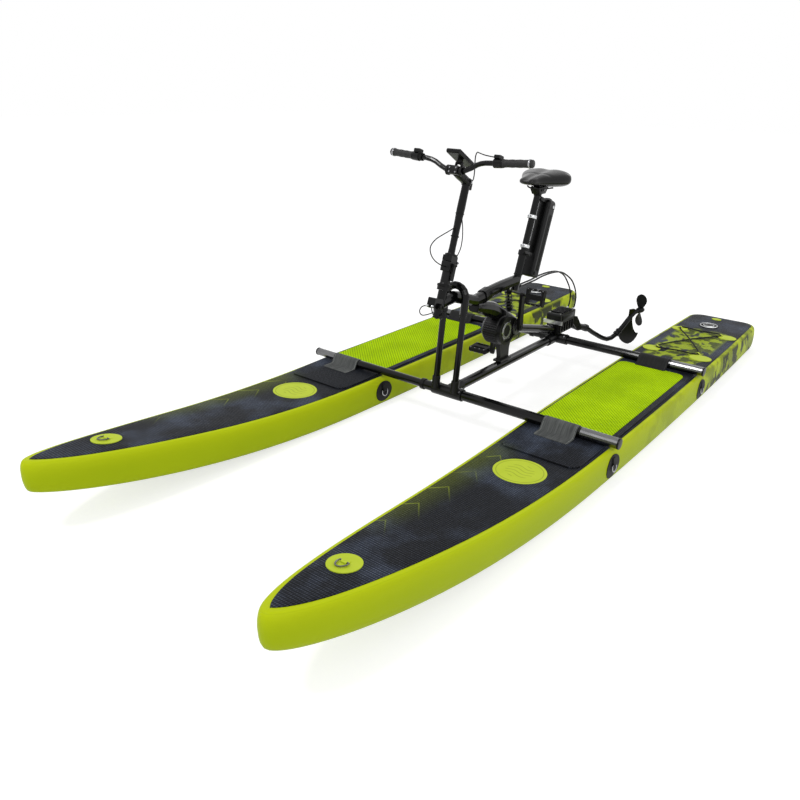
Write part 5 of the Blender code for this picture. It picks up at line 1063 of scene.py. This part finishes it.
# %% [markdown]
# Blocks are cubes scaled to their measures, with all edges bevelled to catch a thin line of light.
# The saddle's bracket is drawn in at its lower end, as a forged one is drawn in to its bolt.

# %% Blocks
def slab(name, low, high, look, body="base", around=LEVEL, ease=0.0012, drawn_in=None):
    """A box from low to high corner in the given frame, bevelled; drawn_in resizes its lower end."""
    for side, title in twins(name):
        x, y, z = [(a + b) / 2 for a, b in zip(low, high)]
        piece = new("cube", title, size=1.0, location=(side * x, y, z),
                    scale=[b - a for a, b in zip(low, high)])
        if drawn_in:
            edit_end(piece, -1)
            bpy.ops.transform.resize(value=drawn_in, center_override=(x, y, low[2]))
            leave()
        edit(piece, "EDGE")
        bpy.ops.mesh.bevel(offset=ease, segments=2, affect="EDGES")
        leave()
        piece.data.transform(around)
        done(piece, *look, body)


slab("saddle_bracket", (-0.028, 0.402, 1.044), (0.028, 0.508, 1.08), SATIN, "seat", ease=0.0035,
     drawn_in=(0.8, 0.62, 1))
slab("bar_clamp_plate", (-0.0245, -0.1275, 0.5925), (0.0245, -0.1195, 0.6275), CAST, "column", HEAD, 0.002)
for number in range(6):
    y = 0.812 + 0.0215 * number
    slab(f"gearbox_rib_{number}", (-0.04, y, 0.333), (0.04, y + 0.006, 0.3425), CAST, ease=0.0016)
slab("gearbox_side_{}", (0.044, 0.8, 0.296), (0.049, 0.945, 0.324), SATIN, ease=0.002)

# %% [markdown]
# The handlebar clamp, the folding joint and the cable block under the head tube are busy places:
# clamp rings, pivot caps, barrel adjusters and short cables that dive into the frame.

# %% Trim of the head
CABLE, THIN_CABLE = (cable_black, "rubber"), oval(0.0024, 0.0024, 10)
turned("{}_bar_clamp_cap", (0, 0, 10.5, 0, 10.5, 1.6, 8.5, 3, 5, 3, 4.4, 1.4, 0, 1.4), BOLT, "column", HEAD,
       (0.024, -0.105, 0.61), (1, 0, 0))
turned("{}_bar_ring", (14.2, 0, 20.5, 0, 21.5, 1.2, 21.5, 10.8, 20.5, 12, 14.2, 12, 14.2, 0), CAST,
       "column", HEAD, (0.0285, -0.105, 0.61), (1, 0, 0))
turned("{}_head_lobe", (0, 0, 13, 0, 14, 1, 14, 14, 12.5, 15.8, 6, 16.4, 5.4, 14, 0, 14), SATIN, "base",
       LEVEL, (0.0195, -0.418, 0.64), (1, 0, 0))
turned("{}_adjuster", (0, 0, 5, 0, 5.6, 1, 5.6, 8, 4.2, 9.2, 4.2, 15, 3, 16, 0, 16), BRIGHT, "base", LEVEL,
       (0.0115, -0.4585, 0.65), (0.5, -1, 0))
bar("{}_head_cable", [(0.018, -0.47, 0.65), (0.027, -0.486, 0.646), (0.037, -0.488, 0.624),
                      (0.039, -0.464, 0.6), (0.03, -0.418, 0.598), (0.018, -0.384, 0.608)],
    26, THIN_CABLE, CABLE)
bar("stem_neck", [(0, 0.006, 0.583), (0, -0.03, 0.5925), (0, -0.064, 0.599), (0, -0.088, 0.606)],
    28, oval(0.0176, 0.0176, 20, 3), CAST, "column", HEAD,
    widths=[1.0 + 0.1 * abs(sin(pi * step / 3.5)) for step in range(28)])
turned("column_crown", (15, 0, 20.5, 0, 21.5, 1.2, 21.5, 10, 20, 11.2, 20, 18, 21.5, 19.2, 21.5, 28,
                        20, 29.5, 14, 30, 0, 30), SATIN, "column", HEAD, (0, 0, 0.57), steps=32)
slab("column_connector", (-0.013, 0.015, 0.556), (0.013, 0.033, 0.592), CAST, "column", HEAD, 0.003)
turned("{}_crown_bolt", (0, 0, 4, 0, 4.4, 0.8, 4.4, 6, 3, 7.2, 0, 7.2), BRIGHT, "column", HEAD,
       (0.019, 0.006, 0.584), (1, 0.4, 0), 20)
turned("column_shoulder", (16.5, 0, 26.2, 0, 27, 1.2, 27, 8.5, 25.5, 10, 18.5, 11, 16.5, 11), CAST,
       "column", HEAD, (0, 0, 0.26), steps=32)
turned("head_lock_ring", (23.5, 0, 31.8, 0, 33, 1.4, 33, 11, 31.8, 12.4, 23.5, 12.4), SATIN, "steering",
       HEAD, (0, 0, 0.1215), steps=32)
for number, z in enumerate((0.345, 0.445)):
    turned(f"column_tie_{number}", (17.8, 0, 19.6, 0.4, 19.6, 4.6, 17.8, 5, 17.8, 0), SOFT, "column", HEAD,
           (0, 0, z), steps=24)

# %% [markdown]
# The battery carries a folding handle, a lock and a charging socket's cap on its port side, two
# clasps that hold it to the seat tube, a bright rail edge and a rubber panel on each side.

# %% Battery trim
bar("battery_handle", [(-0.02, 0.125, 0.444), (-0.02, 0.125, 0.45), (-0.014, 0.125, 0.4545),
                       (0.0, 0.125, 0.4555), (0.014, 0.125, 0.4545), (0.02, 0.125, 0.45),
                       (0.02, 0.125, 0.444)],
    26, oval(0.0085, 0.0022, 16, 4), SATIN, "seat", SEAT, (0, 1, 0))
turned("battery_lock", (0, 0, 8.5, 0, 8.5, 1.6, 7, 2.6, 4, 2.6, 3.4, 1.2, 0, 1.2), BRIGHT, "seat", SEAT,
       (0.0345, 0.14, 0.418), (1, 0, 0))
turned("battery_socket_cap", (0, 0, 10, 0, 10, 2, 8, 3.4, 0, 3.8), SOFT, "seat", SEAT,
       (0.0345, 0.108, 0.064), (1, 0, 0))
for name, low in (("lower", 0.1728), ("upper", 0.3238)):
    turned(f"battery_{name}_clasp", (22.2, 0, 23.6, 0, 24.2, 1, 24.2, 15.4, 23.6, 16.4, 22.2, 16.4,
                                     22.2, 0), BRIGHT, "seat", SEAT, (0, 0, low), steps=36)
    slab(f"battery_{name}_{{}}_ear", (0.002, -0.039, low + 0.0012), (0.0052, -0.0225, low + 0.0152),
         BRIGHT, "seat", SEAT, 0.0007)
slab("battery_rail_edge", (-0.0072, 0.018, 0.19), (0.0072, 0.028, 0.42), BRIGHT, "seat", SEAT)
slab("battery_top_bracket", (-0.017, 0.016, 0.423), (0.017, 0.086, 0.444), CAST, "seat", SEAT, 0.0035)
slab("battery_{}_panel", (0.032, 0.113, 0.08), (0.0342, 0.137, 0.37), SOFT, "seat", SEAT, 0.0008)

# %% [markdown]
# The motor sheds its heat through fins along its drum. One fin is modelled and copied round the
# axis, except on top, where the tube lies in the drum.

# %% Motor fins
FIN_X, FIN_TOP, FIN_HEIGHT = -0.0065, 0.0785, 0.004
fin = new("cube", "motor_fin_master", size=1.0, location=(FIN_X, 0, FIN_TOP - FIN_HEIGHT / 2),
          scale=(0.07, 0.0022, FIN_HEIGHT))
edit_end(fin)
bpy.ops.transform.resize(value=(0.94, 0.55, 1), center_override=(FIN_X, 0, FIN_TOP))
leave()
fin.data.materials.append(spring_steel)
fin_turns = [turn for turn in range(0, 360, 9) if not -118 < (turn + 180) % 360 - 180 < 40]
for number, turn in enumerate(fin_turns):
    copied(fin, f"motor_fin_{number:02d}", leaning(MOTOR, -turn), "base")
bpy.data.objects.remove(fin)
print("motor fins", len(fin_turns))
for name, x, out, rim in (("starboard", -0.057, -1, (56, 0, 56, 1.6, 62, 2.4, 64, 1.2, 64, 0)),
                          ("port", 0.052, 1, (30, 0, 30, 2, 42, 3, 44, 1.6, 44, 0))):
    turned(f"motor_{name}_rim", rim, (bolt_steel, "cast"), "base", LEVEL, (x, *MOTOR[1:]), (out, 0, 0), 48)

# %% [markdown]
# The display has a dark glass let into its upper face and three rubber keys below it. The glass is
# nearly black and very smooth, for a sharp reflection.

# %% Display glass and keys
def glass_finish():
    made, paint = start("display_glass")
    dust = speckle(paint, 300.0, 3.0)
    colour = mixed(dust, rgb(0.003, 0.004, 0.005), rgb(0.007, 0.009, 0.011))
    return close(made, colour, 0.05 + dust * 0.06, dust, 0.00002)


front_edge, rear_edge = Vector((0, -0.155, 0.683)), Vector((0, -0.006, 0.651))
run = rear_edge - front_edge
face = HEAD @ leaning((front_edge + rear_edge) / 2, -degrees(atan2(run.z, run.y)))
slab("display_glass", (-0.0265, -0.056, 0.0084), (0.0265, 0.036, 0.0096), (glass_finish(), "plastic"),
     "display", face, 0.0004)
for number, x in enumerate((-0.016, 0.0, 0.016)):
    slab(f"display_key_{number}", (x - 0.0055, 0.043, 0.008), (x + 0.0055, 0.052, 0.0102), SOFT,
         "display", face, 0.0008)

# %% [markdown]
# Pedals grip the shoe with rows of small studs on both faces. A second thin cable runs down beside
# the column, held off the tube in a shallow bow.

# %% Pedal studs and the column's second cable
stud = new("cone", "stud_master", vertices=10, radius1=0.0026, radius2=0.0014, depth=0.0036)
edit_end(stud)
bpy.ops.mesh.inset(thickness=0.0005)
leave()
stud.data.materials.append(bolt_steel)
STUDS = [(x, y, face) for face in (1, -1) for x in (-0.042, -0.014, 0.014, 0.042) for y in (-0.037, 0.037)]
for (side, name), upright, height in zip(SIDES, (78, 4), (0.572, 0.232)):
    middle = leaning((side * 0.15, 0.235, height), -upright)
    for number, (x, y, face) in enumerate(STUDS):
        spot = middle @ leaning((x, y, face * 0.0142), 90 * face - 90)
        copied(stud, f"{name}_pedal_stud_{number:02d}", spot, f"{name}_pedal")
bpy.data.objects.remove(stud)
bar("column_second_cable", [(0.016, 0.002, 0.425), (0.023, 0.009, 0.395), (0.029, 0.017, 0.35),
                            (0.03, 0.02, 0.305), (0.024, 0.018, 0.272), (0.02, 0.015, 0.256)],
    30, THIN_CABLE, CABLE, "column", HEAD)

# %% [markdown]
# The looped cable leaves the stem's base and ends in the column, which folds. On the real bike it
# flexes; a smooth sweep on the same route replaces the imported one and stays in its world place.

# %% Looped cable of the column
CABLE_HALF = 0.0025
LOOP = [(-0.0181, 0.3825), (-0.053, 0.362), (-0.1, 0.336), (-0.138, 0.313), (-0.163, 0.287),
        (-0.167, 0.265), (-0.15, 0.242), (-0.12, 0.225), (-0.084, 0.215), (-0.05, 0.2105),
        (-0.0254, 0.21)]
loop_route = [HEAD @ point for point in rounded([(0, y, z) for y, z in LOOP], 60)]
loop_cable = swept("column_loop_cable", loop_route, oval(CABLE_HALF, CABLE_HALF, 12))
done(loop_cable, *CABLE, stands_for="column_cable",
     bend=("steering", "column", tuple(loop_route[-1]), tuple(loop_route[0])))
print("cable between steering and column", len(loop_route), "rings")

# %% [markdown]
# The bungee is a rubber cord in a braided jacket, laced through a webbing loop at each of its four
# corners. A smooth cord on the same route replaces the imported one, which is a chain of steps.

# %% Bungees
CORNERS = [(-0.15, 1.605), (0.1, 1.605), (-0.13, 1.145), (0.1, 1.17)]
PATCH_TOP, CORD_HALF, STRAP_Y = SKIN_TOP + 0.003, 0.0036, -1.695
HOOP = [(-0.016, -0.0012), (-0.009, 0.003), (0, 0.0092), (0.009, 0.003), (0.016, -0.0012)]
TAB = [(0.021, 0.0004), (0.008, 0.0012), (-0.001, 0.0076), (-0.0058, 0.0048), (-0.005, 0.0004)]


def braid_finish():
    made, paint = start("bungee_braid")
    x, y, z = along_axes(paint)
    one = ((x + y) * 1500 + z * 900).maths("SINE")
    two = ((x - y) * 1500 - z * 900).maths("SINE")
    braid = smooth_step(one * two, -0.4, 0.5)
    return close(made, mixed(braid, rgb(0.003), rgb(0.014, 0.014, 0.015)), 0.72, braid, 0.0006, 0.2)


def bungee_route(middle_x):
    """Round the four corners, with the two long runs crossing in the middle."""
    tail, tail_port, fore, fore_port = [Vector(corner) for corner in CORNERS]
    middle = (tail + fore_port) / 2
    points = [(*tail, 0), ((tail.x + tail_port.x) / 2, tail.y + 0.004, 0), (*tail_port, 0), (*middle, 0),
              (*fore, 0), ((fore.x + fore_port.x) / 2, fore.y, 0), (*fore_port, 0), (*middle, 0.009)]
    low = THICK + PATCH_TOP + CLEARANCE + CORD_HALF
    lap = 24 * len(points)
    return rounded([(middle_x + x, y, low + lift) for x, y, lift in points] * 3, 3 * lap)[lap:2 * lap]


bungee_braid = braid_finish()
slope = degrees(atan2(deck_z(STRAP_Y - 0.03) - deck_z(STRAP_Y + 0.03), 0.06))
for name, x in BOARDS:
    cord = swept(f"{name}_bungee_cord", bungee_route(x), oval(CORD_HALF, CORD_HALF, 10), (0, 0, 1),
                 closed=True)
    done(cord, bungee_braid, "cord", stands_for=f"{name}_bungee", angle=60)
    for number, (dx, y) in enumerate(CORNERS):
        bar(f"{name}_bungee_loop_{number}", [(x + dx + out, y, THICK + PATCH_TOP + up) for out, up in HOOP],
            16, oval(0.0075, 0.0008, 12, 5), (patch_lime, "flap"), across=(0, 1, 0))
    bar(f"{name}_nose_strap", [(0, y, z) for y, z in TAB], 16, oval(0.011, 0.0008, 12, 5),
        (patch_lime, "flap"), "base", leaning((x - 0.02, STRAP_Y, deck_z(STRAP_Y) + PATCH_TOP), slope))

# %% [markdown]
# A plain pale studio. The floor is matt, and for the camera and for reflections it is lifted to
# white, while the shadow on it stays. Three soft lamps and the sky add up to a level at which a
# colour shows about as it is written.

# %% Floor, sky and lamps
def seen_by(paint):
    """1 for what the camera, reflections and glass see, and 0 for bounced light."""
    seen = ray = paint.node("LightPath", output="Is Camera Ray")
    for name in ("Is Glossy Ray", "Is Transmission Ray"):
        seen = seen.maths("MAXIMUM", Wire(paint.tree, ray.output.node.outputs[name]))
    return seen


def floor_finish():
    made, paint = start("studio_floor")
    made.node_tree.nodes.remove(made.node_tree.nodes["Principled BSDF"])
    matt = paint.node("BsdfDiffuse", {"Color": mixed(speckle(paint, 40.0, 2.0), rgb(0.5), rgb(0.51))})
    lift = paint.node("Emission", {"Color": rgb(1), "Strength": 0.66})
    white = paint.node("AddShader", {0: matt, 1: lift})
    pale = paint.node("BsdfDiffuse", {"Color": rgb(0.78)})
    both = paint.node("MixShader", {0: seen_by(paint), 1: pale, 2: white})
    paint.fill(made.node_tree.nodes["Material Output"].inputs["Surface"], both)
    return made


floor = new("plane", "floor", size=60, location=(0, 0, -0.001))
floor.data.materials.append(floor_finish())

sky = bpy.data.worlds.new("sky")
scene.world = sky
sky.use_nodes = True
air = Wire(sky.node_tree)
backdrop = sky.node_tree.nodes["Background"]
air.fill(backdrop.inputs["Strength"], 0.7 + seen_by(air) * 0.3)
air.fill(backdrop.inputs["Color"], rgb(1))

for name, place, aim_z, size, power in (("key", (-1.8, -5.2, 7.0), 0.2, 1.2, 190),
                                        ("fill", (7.0, -4.0, 5.0), 0.3, 2.2, 110),
                                        ("back", (0.5, 7.0, 5.0), 0.3, 3.0, 60)):
    data = bpy.data.lights.new(name, "AREA")
    data.size, data.energy = size, power
    lamp = bpy.data.objects.new(name, data)
    scene.collection.objects.link(lamp)
    aim = (Vector((0, 0, aim_z)) - Vector(place)).to_track_quat("-Z", "Y")
    lamp.matrix_world = Matrix.Translation(place) @ aim.to_matrix().to_4x4()
